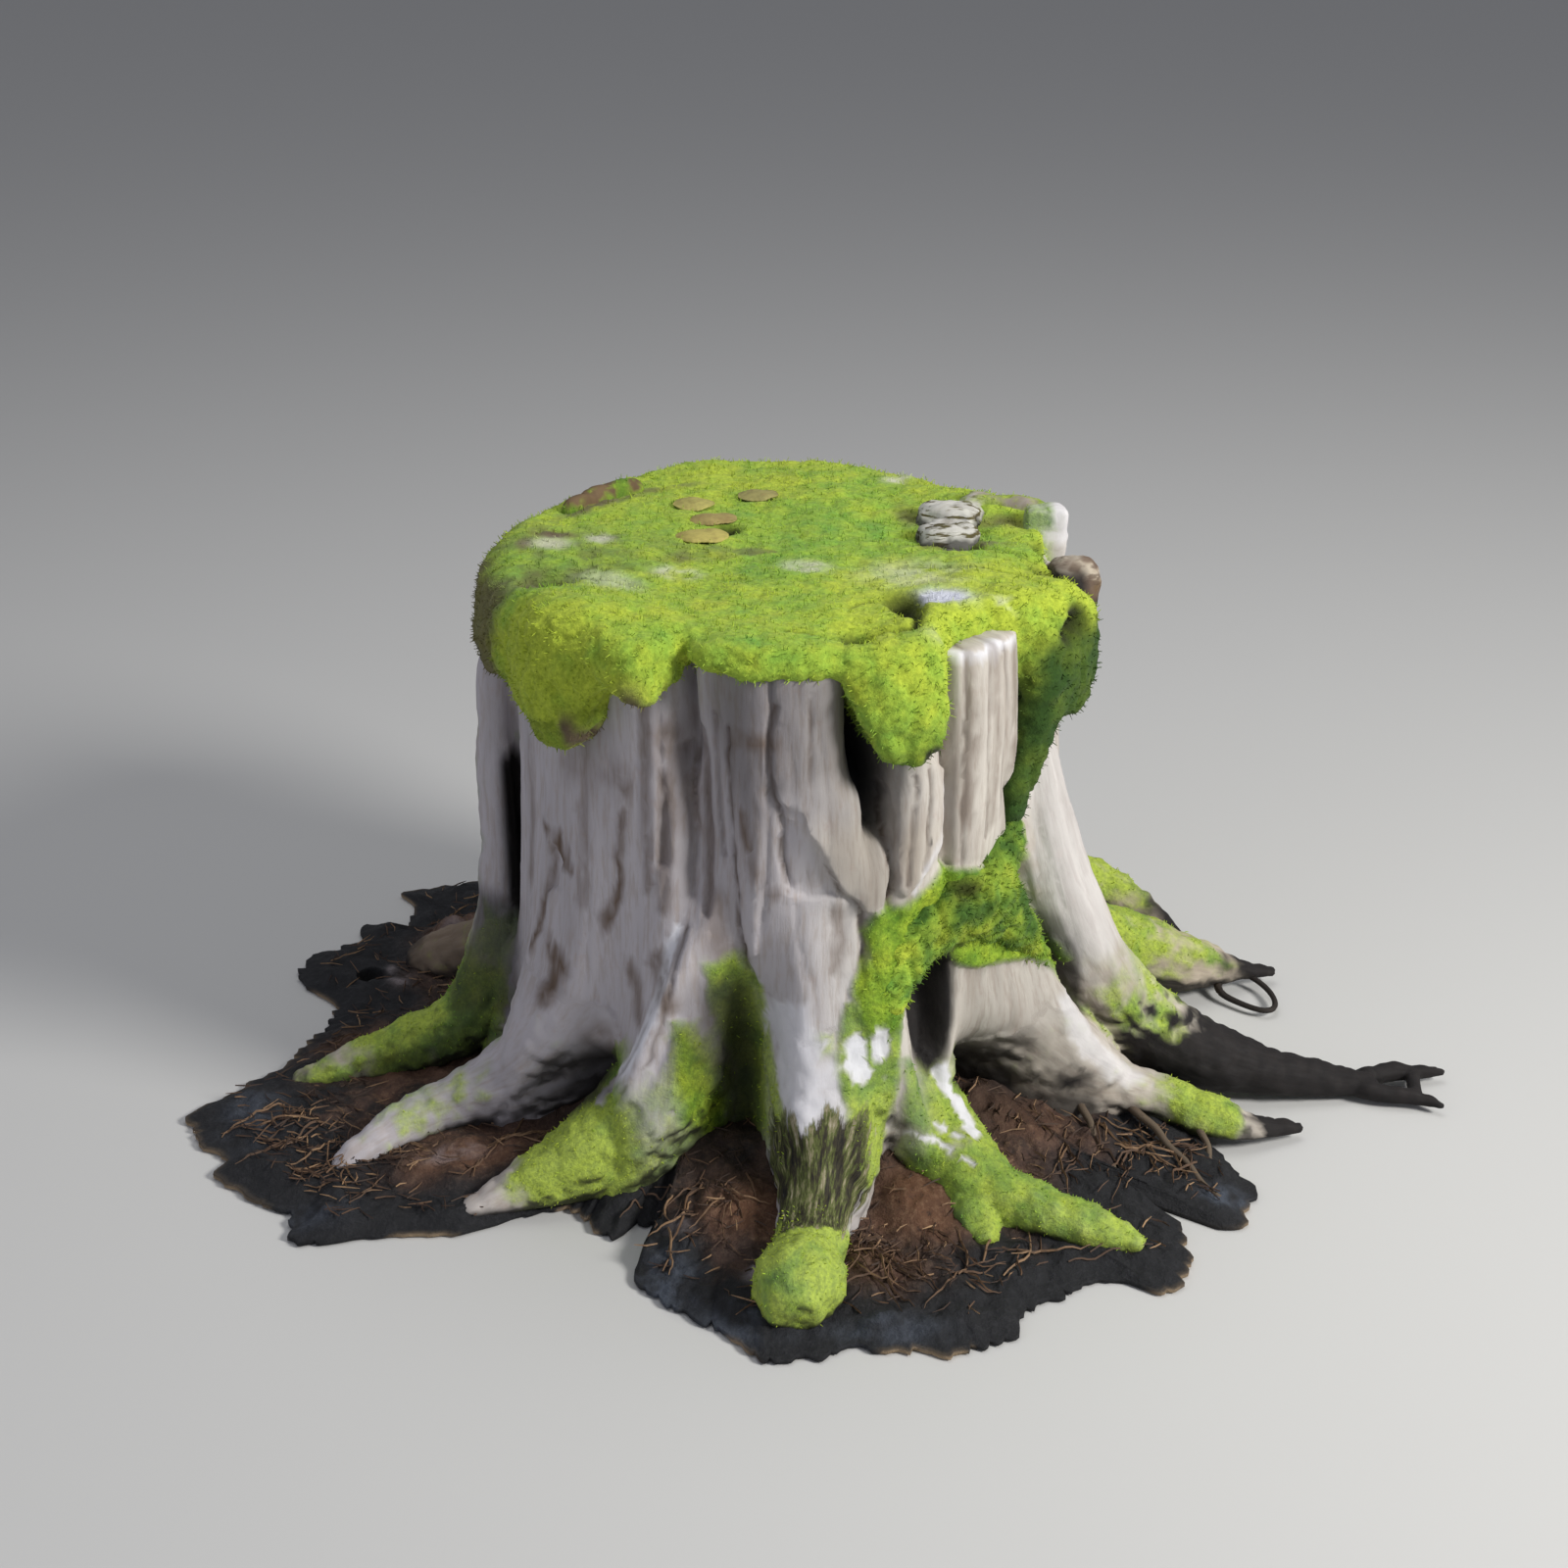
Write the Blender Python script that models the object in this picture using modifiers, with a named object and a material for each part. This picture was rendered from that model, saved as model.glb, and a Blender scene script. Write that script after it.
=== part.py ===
"""A weathered tree stump on a skin of forest litter, with a thick cap of moss.

The trunk's axis is Z and the floor is z = 0. The front faces -Y and +X is to its right.
Angles round the trunk are in degrees from the front, growing towards +X.
"""

import math

import bmesh
import bpy
import numpy as np
from mathutils import Vector, noise

# Driving dimensions, in metres
TRUNK_RADIUS = 0.252
CUT_HEIGHT = 0.515
WOOD_FOOT = 0.006
CAP_TOP = 0.538
CAP_EDGE_ROUNDING = 0.034
FLARE_HEIGHT = 0.070
MAT_EDGE = 0.006
MAT_TOP = 0.012
MOUND_HEIGHT = 0.040
MOUND_RADIUS = 0.245
MOUND_FALL = 0.055
GAP = 0.0006
WOOD_VOXEL = 0.006
MOSS_VOXEL = 0.007

WOOD_TRIANGLES = 5600
CAP_TRIANGLES = 3000
CROOK_TRIANGLES = 420

# Each buttress of the trunk: angle at the floor, angle high up, how far it reaches out, half width
BUTTRESSES = (
    (-80, -84, 0.040, 7.0),
    (-63, -50, 0.055, 9.0),
    (-34, -17, 0.055, 6.5),
    (7, 8, 0.085, 8.0),
    (31, 25, 0.050, 5.5),
    (66, 50, 0.065, 9.0),
    (78, 68, 0.080, 9.0),
    (104, 104, 0.060, 9.0),
    (128, 130, 0.060, 9.0),
    (158, 158, 0.070, 10.0),
    (-172, -172, 0.075, 10.0),
    (-142, -142, 0.070, 10.0),
    (-114, -114, 0.060, 9.0),
)

# Local relief of the trunk: angle, half width, height of the middle, half height, depth inwards,
# and how the angle leans as the height grows, in degrees a metre
RELIEF = (
    (-20, 2.4, 0.49, 0.09, 0.045, 0),
    (-17.5, 3.0, 0.37, 0.10, 0.016, 0),
    (-12.5, 5.0, 0.42, 0.13, 0.013, 0),
    (-9.5, 7.5, 0.05, 0.19, 0.052, 20),
    (-46, 8.0, 0.03, 0.08, 0.050, 60),
    (-23, 2.6, 0.19, 0.10, -0.014, 78),
    (2, 8.0, 0.36, 0.22, -0.006, 0),
    (17.5, 5.4, 0.46, 0.055, 0.075, 0),
    (17.8, 2.6, 0.40, 0.045, 0.055, 0),
    (10, 6.0, 0.34, 0.04, -0.008, -90),
    (27, 5.0, 0.36, 0.07, -0.010, 0),
    (33.2, 1.3, 0.41, 0.12, 0.014, 0),
    (43.5, 9.5, 0.42, 0.11, -0.012, 0),
    (59, 1.9, 0.24, 0.12, 0.045, -69),
    (70, 12.0, 0.31, 0.11, -0.010, 0),
    (29, 4.2, 0.18, 0.09, 0.045, 0),
    (46, 11.0, 0.00, 0.115, 0.090, 0),
    (92, 6.0, 0.10, 0.20, 0.020, 0),
    (-77, 3.0, 0.34, 0.13, 0.018, 0),
    (116, 5.0, 0.20, 0.25, 0.018, 0),
    (144, 5.0, 0.25, 0.30, 0.020, 0),
    (174, 4.0, 0.30, 0.30, 0.016, 0),
    (-157, 5.0, 0.22, 0.25, 0.020, 0),
    (-128, 5.0, 0.30, 0.30, 0.018, 0),
)

# Roots beyond the buttresses: points along the middle as x, y, z and radius
ROOTS = {
    "rib_and_far_left": (
        (-0.250, -0.030, 0.462, 0.010), (-0.264, -0.035, 0.440, 0.018),
        (-0.262, -0.030, 0.390, 0.014), (-0.266, -0.030, 0.340, 0.017),
        (-0.263, -0.028, 0.270, 0.018), (-0.265, -0.028, 0.180, 0.027),
        (-0.274, -0.030, 0.110, 0.034), (-0.303, -0.040, 0.066, 0.030),
        (-0.352, -0.038, 0.042, 0.024), (-0.400, -0.045, 0.028, 0.021),
        (-0.446, -0.059, 0.018, 0.016), (-0.473, -0.062, 0.011, 0.008),
    ),
    "left": (
        (-0.150, -0.110, 0.120, 0.070), (-0.217, -0.134, 0.075, 0.048),
        (-0.255, -0.138, 0.057, 0.034), (-0.292, -0.142, 0.043, 0.026),
        (-0.328, -0.153, 0.034, 0.021), (-0.362, -0.174, 0.026, 0.018),
        (-0.394, -0.205, 0.018, 0.013), (-0.406, -0.224, 0.012, 0.006),
    ),
    "front_left": (
        (-0.085, -0.175, 0.120, 0.040), (-0.132, -0.225, 0.070, 0.042),
        (-0.174, -0.248, 0.040, 0.036), (-0.209, -0.255, 0.028, 0.027),
        (-0.243, -0.267, 0.019, 0.018), (-0.269, -0.280, 0.012, 0.011),
        (-0.283, -0.288, 0.009, 0.006),
    ),
    "front": (
        (0.040, -0.200, 0.150, 0.055), (0.036, -0.265, 0.082, 0.042),
        (0.033, -0.310, 0.052, 0.035), (0.029, -0.350, 0.036, 0.030),
        (0.023, -0.385, 0.028, 0.024), (0.017, -0.412, 0.032, 0.035),
        (0.014, -0.436, 0.033, 0.037), (0.012, -0.462, 0.028, 0.018),
    ),
    "front_right": (
        (0.100, -0.165, 0.130, 0.030), (0.128, -0.208, 0.078, 0.031),
        (0.150, -0.245, 0.046, 0.034), (0.172, -0.282, 0.036, 0.032),
        (0.204, -0.300, 0.030, 0.024), (0.244, -0.317, 0.026, 0.020),
        (0.285, -0.335, 0.021, 0.017), (0.314, -0.347, 0.015, 0.008),
    ),
    "front_right_stub": (
        (0.160, -0.265, 0.036, 0.026), (0.174, -0.308, 0.024, 0.020),
        (0.181, -0.344, 0.015, 0.009),
    ),
    "right": (
        (0.180, -0.090, 0.130, 0.060), (0.235, -0.105, 0.088, 0.048),
        (0.281, -0.119, 0.060, 0.030), (0.328, -0.122, 0.043, 0.023),
        (0.373, -0.134, 0.033, 0.018), (0.408, -0.151, 0.027, 0.019),
        (0.432, -0.160, 0.022, 0.013), (0.465, -0.150, 0.014, 0.009),
        (0.492, -0.144, 0.011, 0.005),
    ),
    "far_right": (
        (0.222, -0.105, 0.400, 0.020), (0.232, -0.105, 0.340, 0.028),
        (0.242, -0.100, 0.280, 0.034), (0.266, -0.090, 0.205, 0.040),
        (0.306, -0.072, 0.120, 0.038), (0.358, -0.060, 0.066, 0.037),
        (0.417, -0.064, 0.038, 0.031), (0.483, -0.070, 0.024, 0.020),
        (0.536, -0.070, 0.016, 0.015), (0.572, -0.069, 0.013, 0.011),
    ),
    "far_right_upper_prong": (
        (0.560, -0.066, 0.013, 0.010), (0.598, -0.036, 0.011, 0.007),
        (0.622, -0.047, 0.011, 0.008), (0.652, -0.040, 0.010, 0.003),
    ),
    "far_right_lower_prong": (
        (0.560, -0.074, 0.013, 0.010), (0.586, -0.095, 0.011, 0.008),
        (0.612, -0.080, 0.011, 0.009), (0.635, -0.106, 0.010, 0.003),
    ),
    "prong_bridge": (
        (0.618, -0.044, 0.011, 0.006), (0.613, -0.084, 0.011, 0.006),
    ),
    "back_right": (
        (0.200, 0.060, 0.140, 0.060), (0.280, 0.100, 0.096, 0.040),
        (0.331, 0.128, 0.066, 0.036), (0.373, 0.138, 0.050, 0.034),
        (0.413, 0.136, 0.040, 0.031), (0.450, 0.142, 0.030, 0.023),
        (0.478, 0.150, 0.022, 0.010), (0.520, 0.162, 0.013, 0.005),
    ),
    "back_right_far": (
        (0.170, 0.150, 0.130, 0.060), (0.255, 0.245, 0.088, 0.036),
        (0.315, 0.300, 0.060, 0.027), (0.358, 0.298, 0.042, 0.024),
        (0.396, 0.276, 0.026, 0.016), (0.434, 0.248, 0.012, 0.005),
    ),
    "back_one": (
        (0.070, 0.180, 0.110, 0.060), (0.105, 0.290, 0.060, 0.036),
        (0.140, 0.370, 0.030, 0.024), (0.150, 0.430, 0.014, 0.010),
    ),
    "back_two": (
        (-0.030, 0.190, 0.110, 0.060), (-0.045, 0.310, 0.056, 0.036),
        (-0.030, 0.390, 0.030, 0.024), (-0.060, 0.450, 0.014, 0.009),
    ),
    "back_left": (
        (-0.120, 0.150, 0.110, 0.060), (-0.195, 0.235, 0.062, 0.036),
        (-0.260, 0.290, 0.032, 0.024), (-0.290, 0.345, 0.014, 0.010),
    ),
    "left_behind": (
        (-0.180, 0.080, 0.110, 0.060), (-0.290, 0.130, 0.056, 0.038),
        (-0.352, 0.160, 0.034, 0.028), (-0.385, 0.175, 0.018, 0.016),
    ),
}

# Loose rootlets joined to the wood after it is remeshed: x, y, z and radius
ROOTLETS = (
    ((0.462, 0.146, 0.018, 0.006), (0.449, 0.128, 0.010, 0.004), (0.472, 0.101, 0.009, 0.003),
     (0.498, 0.080, 0.009, 0.003), (0.512, 0.092, 0.009, 0.003), (0.512, 0.124, 0.009, 0.003),
     (0.500, 0.146, 0.012, 0.003), (0.486, 0.154, 0.016, 0.003)),
    ((0.276, -0.120, 0.055, 0.006), (0.289, -0.182, 0.030, 0.005), (0.308, -0.228, 0.016, 0.004),
     (0.313, -0.262, 0.011, 0.003)),
    ((0.318, -0.125, 0.040, 0.006), (0.357, -0.186, 0.026, 0.005), (0.386, -0.236, 0.015, 0.004),
     (0.396, -0.262, 0.011, 0.003)),
    ((0.390, -0.145, 0.028, 0.006), (0.398, -0.190, 0.018, 0.004), (0.398, -0.226, 0.012, 0.003)),
)

# Knots and broken rim pieces that stand up through or beside the moss: place, half sizes, turn
RIM_PIECES = (
    ((0.262, -0.024, 0.505), (0.027, 0.028, 0.036), 10),
    ((0.246, 0.064, 0.527), (0.020, 0.014, 0.030), 5),
    ((0.158, 0.060, 0.516), (0.034, 0.050, 0.036), -10),
    ((0.212, 0.104, 0.524), (0.046, 0.015, 0.032), -14),
    ((-0.172, 0.146, 0.520), (0.054, 0.013, 0.034), 49),
)

# Hem of the moss cap: angle, height of the lowest edge, how far out the moss stands
CAP_HEM = (
    (-180, 0.500, 0.290), (-160, 0.497, 0.288), (-146, 0.500, 0.278), (-132, 0.505, 0.262),
    (-115, 0.500, 0.260), (-101, 0.488, 0.264), (-92, 0.478, 0.270), (-84, 0.465, 0.275),
    (-76, 0.455, 0.278), (-66, 0.455, 0.278), (-60, 0.458, 0.278), (-56, 0.455, 0.280),
    (-52, 0.446, 0.286), (-49.5, 0.440, 0.290), (-47, 0.430, 0.291), (-44, 0.426, 0.290),
    (-40.5, 0.428, 0.288), (-38, 0.438, 0.286), (-36.3, 0.458, 0.285), (-34.8, 0.480, 0.285),
    (-33, 0.490, 0.286), (-29.5, 0.494, 0.288), (-26.5, 0.490, 0.289), (-24, 0.483, 0.288),
    (-22.5, 0.485, 0.282), (-21.4, 0.500, 0.256), (-20.4, 0.512, 0.234), (-19, 0.516, 0.232),
    (-17.6, 0.518, 0.244), (-16, 0.518, 0.256), (-13, 0.516, 0.262), (-8, 0.511, 0.264),
    (-2, 0.508, 0.266), (4, 0.508, 0.266), (9, 0.509, 0.266), (11.5, 0.506, 0.268),
    (13, 0.484, 0.276), (15.2, 0.463, 0.284), (17.5, 0.443, 0.289), (19.5, 0.436, 0.290),
    (22, 0.434, 0.290), (26, 0.434, 0.290), (28, 0.442, 0.288), (29.4, 0.466, 0.282),
    (30.5, 0.490, 0.266), (32, 0.503, 0.250), (36, 0.508, 0.240), (42, 0.508, 0.237),
    (48, 0.504, 0.240), (52, 0.492, 0.252), (55, 0.455, 0.268), (60, 0.422, 0.282),
    (66, 0.418, 0.290), (72, 0.424, 0.292), (78, 0.432, 0.288), (83, 0.455, 0.272),
    (88, 0.490, 0.256), (92, 0.508, 0.250), (98, 0.512, 0.252), (112, 0.510, 0.262),
    (126, 0.504, 0.258), (138, 0.500, 0.250), (150, 0.500, 0.272), (165, 0.500, 0.285),
    (180, 0.500, 0.290),
)

# The strip of moss that runs on down from the cap's right-hand skirt: angle, radius, height, girth
CAP_STRIP = (
    (60, 0.262, 0.470, 0.026), (59.5, 0.264, 0.430, 0.022), (57, 0.262, 0.398, 0.017),
    (53.5, 0.260, 0.368, 0.012), (51.5, 0.258, 0.340, 0.007),
)

# Swellings and dips of the cap's top: x, y, spread, height
CAP_SWELLINGS = (
    (-0.175, -0.175, 0.060, 0.014), (0.120, -0.215, 0.040, 0.006), (0.200, -0.130, 0.060, 0.008),
    (-0.200, 0.030, 0.050, 0.004), (0.205, 0.110, 0.050, 0.010), (0.000, 0.050, 0.090, -0.006),
    (-0.210, -0.090, 0.025, -0.010), (-0.080, -0.232, 0.018, -0.012),
    (0.062, -0.215, 0.018, -0.008), (0.158, 0.060, 0.050, -0.008),
)

# Moss in the crook of the right-hand roots: angle, radius, height and girth along each path
CROOK_PATHS = (
    ((52.5, 0.254, 0.338, 0.010), (49, 0.250, 0.312, 0.024), (43, 0.250, 0.284, 0.034),
     (34, 0.252, 0.272, 0.032), (27, 0.256, 0.262, 0.025), (22.5, 0.262, 0.236, 0.019),
     (20, 0.270, 0.205, 0.014), (18.5, 0.276, 0.178, 0.009)),
    ((43, 0.254, 0.275, 0.032), (50, 0.258, 0.250, 0.028), (56, 0.268, 0.215, 0.018),
     (60, 0.276, 0.188, 0.010)),
)

# Outline of the litter mat, anticlockwise from the front: x, y
MAT_OUTLINE = (
    (-0.013, -0.492), (0.027, -0.486), (0.108, -0.480), (0.140, -0.484), (0.198, -0.458),
    (0.215, -0.426), (0.255, -0.384), (0.297, -0.379), (0.328, -0.402), (0.361, -0.358),
    (0.352, -0.290), (0.328, -0.256), (0.350, -0.250), (0.381, -0.275), (0.390, -0.301),
    (0.425, -0.301), (0.412, -0.275), (0.436, -0.235), (0.414, -0.205), (0.404, -0.150),
    (0.385, -0.105), (0.370, -0.040), (0.345, 0.050), (0.330, 0.130), (0.345, 0.215),
    (0.300, 0.330), (0.215, 0.380), (0.170, 0.440), (0.090, 0.430), (0.030, 0.470),
    (-0.060, 0.485), (-0.130, 0.440), (-0.210, 0.450), (-0.280, 0.400), (-0.339, 0.395),
    (-0.398, 0.377), (-0.428, 0.360), (-0.408, 0.328), (-0.416, 0.280), (-0.400, 0.250),
    (-0.430, 0.256), (-0.466, 0.292), (-0.455, 0.245), (-0.503, 0.211), (-0.514, 0.174),
    (-0.490, 0.135), (-0.457, 0.093), (-0.465, 0.052), (-0.491, -0.026), (-0.539, -0.072),
    (-0.566, -0.117), (-0.544, -0.161), (-0.514, -0.194), (-0.520, -0.219), (-0.475, -0.254),
    (-0.449, -0.280), (-0.427, -0.328), (-0.344, -0.309), (-0.283, -0.308), (-0.242, -0.287),
    (-0.209, -0.268), (-0.182, -0.272), (-0.152, -0.331), (-0.130, -0.292), (-0.112, -0.304),
    (-0.128, -0.372), (-0.096, -0.415), (-0.050, -0.449),
)
RING_HOLE = (-0.430, 0.148, 0.016)

# Fallen leaves on the cap: x, y, half length, half width, turn in degrees
LEAVES = (
    (-0.083, 0.122, 0.020, 0.019, 8), (-0.022, 0.154, 0.020, 0.017, 22),
    (-0.064, 0.081, 0.023, 0.018, 12), (-0.073, 0.036, 0.025, 0.021, 4),
)
LEAF_THICKNESS = 0.0016
LEAF_LIFT = 0.003


def clear_scene():
    for obj in list(bpy.data.objects):
        bpy.data.objects.remove(obj, do_unlink=True)


def make_collection(name, for_cutters=False):
    collection = bpy.data.collections.new(name)
    bpy.context.scene.collection.children.link(collection)
    collection.hide_render = for_cutters
    return collection


def make_material(name, colour, roughness):
    material = bpy.data.materials.new(name)
    material.use_nodes = True
    shader = material.node_tree.nodes["Principled BSDF"]
    shader.inputs["Base Color"].default_value = (*colour, 1.0)
    shader.inputs["Roughness"].default_value = roughness
    shader.inputs["Metallic"].default_value = 0.0
    return material


def angle_gap(degrees, centre):
    """Signed difference of two angles, from -180 to 180."""
    return (degrees - centre + 180.0) % 360.0 - 180.0


def hump(value, half_width, sharpness=3):
    """A smooth bell that is 1 in the middle and near 0 a little past the half width."""
    return np.exp(-(np.abs(value / half_width) ** sharpness))


def polar_point(degrees, radius, z):
    angle = np.radians(degrees)
    return np.stack([radius * np.sin(angle), -radius * np.cos(angle), z], axis=-1)


def trunk_radius(degrees, z):
    """Radius of the trunk: a near cylinder, its buttresses, and its local relief."""
    radius = TRUNK_RADIUS + 0.004 * np.sin(np.radians(2 * degrees + 40))
    radius = radius + 0.003 * np.sin(np.radians(5 * degrees)) + 0.010 * np.exp(-z / 0.10)
    for foot, high, reach, half_width in BUTTRESSES:
        centre = high + (foot - high) * np.exp(-z / 0.12)
        rise = reach * np.tanh(0.30 / reach * np.exp(-z / FLARE_HEIGHT))
        radius = radius + rise * hump(angle_gap(degrees, centre), half_width + 22 * z)
    for centre, half_width, middle, half_height, depth, lean in RELIEF:
        shape = hump(angle_gap(degrees, centre + lean * (z - middle)), half_width)
        radius = radius - depth * shape * hump(z - middle, half_height, 4)
    return radius


def ring_loft(name, rings, low_centre, high_centre):
    """A closed body lofted through unlike rings of equal count, with a fan at either end."""
    count = len(rings[0])
    bm = bmesh.new()
    rows = [[bm.verts.new(point) for point in ring] for ring in rings]
    low = bm.verts.new(low_centre)
    high = bm.verts.new(high_centre)
    for i in range(count):
        j = (i + 1) % count
        bm.faces.new((low, rows[0][j], rows[0][i]))
        bm.faces.new((high, rows[-1][i], rows[-1][j]))
        for lower, upper in zip(rows, rows[1:]):
            bm.faces.new((lower[i], lower[j], upper[j], upper[i]))
    bmesh.ops.recalc_face_normals(bm, faces=bm.faces)
    mesh = bpy.data.meshes.new(name)
    bm.to_mesh(mesh)
    bm.free()
    return mesh


def from_polar(path):
    """Turns points given by angle, radius, height and girth into x, y, z and girth."""
    return [
        (r * math.sin(math.radians(a)), -r * math.cos(math.radians(a)), z, girth)
        for a, r, z, girth in path
    ]


def tube_mesh(name, points, sides=4, steps=3):
    """A tapering rod along a smooth path, from a bevelled curve."""
    curve = bpy.data.curves.new(name, "CURVE")
    curve.dimensions = "3D"
    curve.bevel_depth = 1.0
    curve.bevel_resolution = sides
    curve.resolution_u = steps
    curve.use_fill_caps = True
    spline = curve.splines.new("NURBS")
    spline.points.add(len(points) - 1)
    for spot, (x, y, z, radius) in zip(spline.points, points):
        spot.co = (x, y, z, 1.0)
        spot.radius = radius
    spline.order_u = min(4, len(points))
    spline.use_endpoint_u = True
    obj = bpy.data.objects.new(name, curve)
    bpy.context.scene.collection.objects.link(obj)
    bpy.context.view_layer.update()
    graph = bpy.context.evaluated_depsgraph_get()
    mesh = bpy.data.meshes.new_from_object(obj.evaluated_get(graph))
    bpy.data.objects.remove(obj, do_unlink=True)
    bm = bmesh.new()
    bm.from_mesh(mesh)
    bmesh.ops.remove_doubles(bm, verts=bm.verts, dist=1e-5)
    bmesh.ops.recalc_face_normals(bm, faces=bm.faces)
    bm.to_mesh(mesh)
    bm.free()
    return mesh


def lump_mesh(name, place, half_sizes, turn):
    """An ellipsoid, for a knot or a broken piece of rim."""
    bm = bmesh.new()
    bmesh.ops.create_icosphere(bm, subdivisions=2, radius=1.0)
    bmesh.ops.scale(bm, vec=half_sizes, verts=bm.verts)
    angle = math.radians(turn)
    for vert in bm.verts:
        x, y, z = vert.co
        vert.co = (
            place[0] + x * math.cos(angle) - y * math.sin(angle),
            place[1] + x * math.sin(angle) + y * math.cos(angle),
            place[2] + z,
        )
    mesh = bpy.data.meshes.new(name)
    bm.to_mesh(mesh)
    bm.free()
    return mesh


def object_from(name, meshes, collection):
    """One object that holds all the given meshes."""
    bm = bmesh.new()
    for mesh in meshes:
        bm.from_mesh(mesh)
    joined = bpy.data.meshes.new(name)
    bm.to_mesh(joined)
    bm.free()
    obj = bpy.data.objects.new(name, joined)
    collection.objects.link(obj)
    return obj


def bake(obj):
    """Turns an object's modifiers into plain mesh."""
    bpy.context.view_layer.update()
    graph = bpy.context.evaluated_depsgraph_get()
    mesh = bpy.data.meshes.new_from_object(obj.evaluated_get(graph))
    obj.modifiers.clear()
    obj.data = mesh
    return obj


def keep_largest(obj):
    """Drops every loose scrap, and leaves the one largest body."""
    bm = bmesh.new()
    bm.from_mesh(obj.data)
    bmesh.ops.remove_doubles(bm, verts=bm.verts, dist=2e-6)
    left = set(bm.verts)
    islands = []
    while left:
        stack = [left.pop()]
        island = []
        while stack:
            vert = stack.pop()
            island.append(vert)
            for edge in vert.link_edges:
                other = edge.other_vert(vert)
                if other in left:
                    left.remove(other)
                    stack.append(other)
        islands.append(island)
    islands.sort(key=len)
    scraps = [vert for island in islands[:-1] for vert in island]
    bmesh.ops.delete(bm, geom=scraps, context="VERTS")
    bmesh.ops.triangulate(bm, faces=bm.faces)
    bm.to_mesh(obj.data)
    bm.free()
    return obj


def fuse(obj, voxel, smoothing, triangles, floor=None):
    """Grows the overlapping meshes of one object together, smooths them and thins the mesh."""
    remesh = obj.modifiers.new("grow together", "REMESH")
    remesh.mode = "VOXEL"
    remesh.voxel_size = voxel
    smooth = obj.modifiers.new("smooth", "SMOOTH")
    smooth.factor = 0.5
    smooth.iterations = smoothing
    bake(obj)
    keep_largest(obj)
    if floor is not None:
        for vert in obj.data.vertices:
            vert.co.z = max(vert.co.z, floor)
    thin = obj.modifiers.new("thin", "DECIMATE")
    thin.ratio = triangles / max(1, len(obj.data.polygons))
    bake(obj)
    return keep_largest(obj)


def cut(obj, cutter_mesh, cutters, swell, operation="DIFFERENCE"):
    """Cuts another body out of this one, then a slightly swollen copy, so that they don't touch."""
    for growth in sorted({0.0, swell}):
        cutter = bpy.data.objects.new(obj.name + "_cutter", cutter_mesh.copy())
        cutters.objects.link(cutter)
        cutter.display_type = "WIRE"
        cutter.hide_render = True
        if growth:
            grow = cutter.modifiers.new("grow", "DISPLACE")
            grow.strength = growth
            grow.mid_level = 0.0
            bake(cutter)
        boolean = obj.modifiers.new("cut", "BOOLEAN")
        boolean.operation = operation
        boolean.solver = "EXACT"
        boolean.use_self = bool(growth)
        boolean.object = cutter
        bake(obj)
        keep_largest(obj)
    return obj


def trunk_mesh():
    degrees = np.arange(0, 360, 1.5)
    heights = np.concatenate([np.linspace(WOOD_FOOT, 0.20, 30), np.linspace(0.21, CUT_HEIGHT, 40)])
    rings = [polar_point(degrees, trunk_radius(degrees, z), np.full(len(degrees), z)) for z in heights]
    return ring_loft("trunk", rings, (0, 0, WOOD_FOOT), (0, 0, CUT_HEIGHT))


def add_stump_wood(collection, cutters, material):
    meshes = [trunk_mesh()]
    for name, points in ROOTS.items():
        meshes.append(tube_mesh(name, points))
    for i, (place, half_sizes, turn) in enumerate(RIM_PIECES):
        meshes.append(lump_mesh("rim_%d" % i, place, half_sizes, turn))
    stump = object_from("stump_wood", meshes, collection)
    fuse(stump, WOOD_VOXEL, 3, WOOD_TRIANGLES, floor=WOOD_FOOT)
    for i, points in enumerate(ROOTLETS):
        rootlet = tube_mesh("rootlet_%d" % i, points, sides=1, steps=2)
        cut(stump, rootlet, cutters, 0.0, "UNION")
    stump.data.materials.clear()
    stump.data.materials.append(material)
    return stump


def cap_top(x, y):
    """Height of the moss cap's top: flat, with swellings, dips and soft small lumps."""
    z = np.full(np.shape(x), CAP_TOP)
    for cx, cy, spread, height in CAP_SWELLINGS:
        z = z + height * np.exp(-((x - cx) ** 2 + (y - cy) ** 2) / spread**2)
    return z + 0.002 * np.sin(31 * x + 17 * y) * np.sin(23 * y - 13 * x + 1)


def cap_mesh():
    """Rings from the middle of the top out over the edge, down to the hem and back inside."""
    degrees = np.arange(-180, 180, 2.0)
    table = np.array(CAP_HEM)
    hem = np.interp(degrees, table[:, 0], table[:, 1])
    out = np.interp(degrees, table[:, 0], table[:, 2])
    rings = []
    for share in (0.12, 0.35, 0.6, 0.8, 0.9):
        spot = polar_point(degrees, out * share, 0 * degrees)
        spot[:, 2] = cap_top(spot[:, 0], spot[:, 1])
        rings.append(spot)
    edge = polar_point(degrees, out * 0.93, 0 * degrees)
    top = cap_top(edge[:, 0], edge[:, 1])
    round_by = np.minimum(CAP_EDGE_ROUNDING, (top - hem) * 0.45)
    for turn in (20, 50, 80):
        angle = math.radians(turn)
        radius = out - round_by * (1 - math.sin(angle))
        rings.append(polar_point(degrees, radius, top - round_by * (1 - math.cos(angle))))
    rings.append(polar_point(degrees, out + 0.002, 0.5 * (top + hem)))
    rings.append(polar_point(degrees, out - 0.003, hem + 0.25 * round_by))
    rings.append(polar_point(degrees, out - 0.016, hem))
    rings.append(polar_point(degrees, 0.19 + 0 * degrees, np.minimum(hem + 0.01, 0.50)))
    return ring_loft("cap", rings[::-1], (0, 0, 0.49), (0, 0, float(cap_top(0.0, 0.0))))


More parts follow.
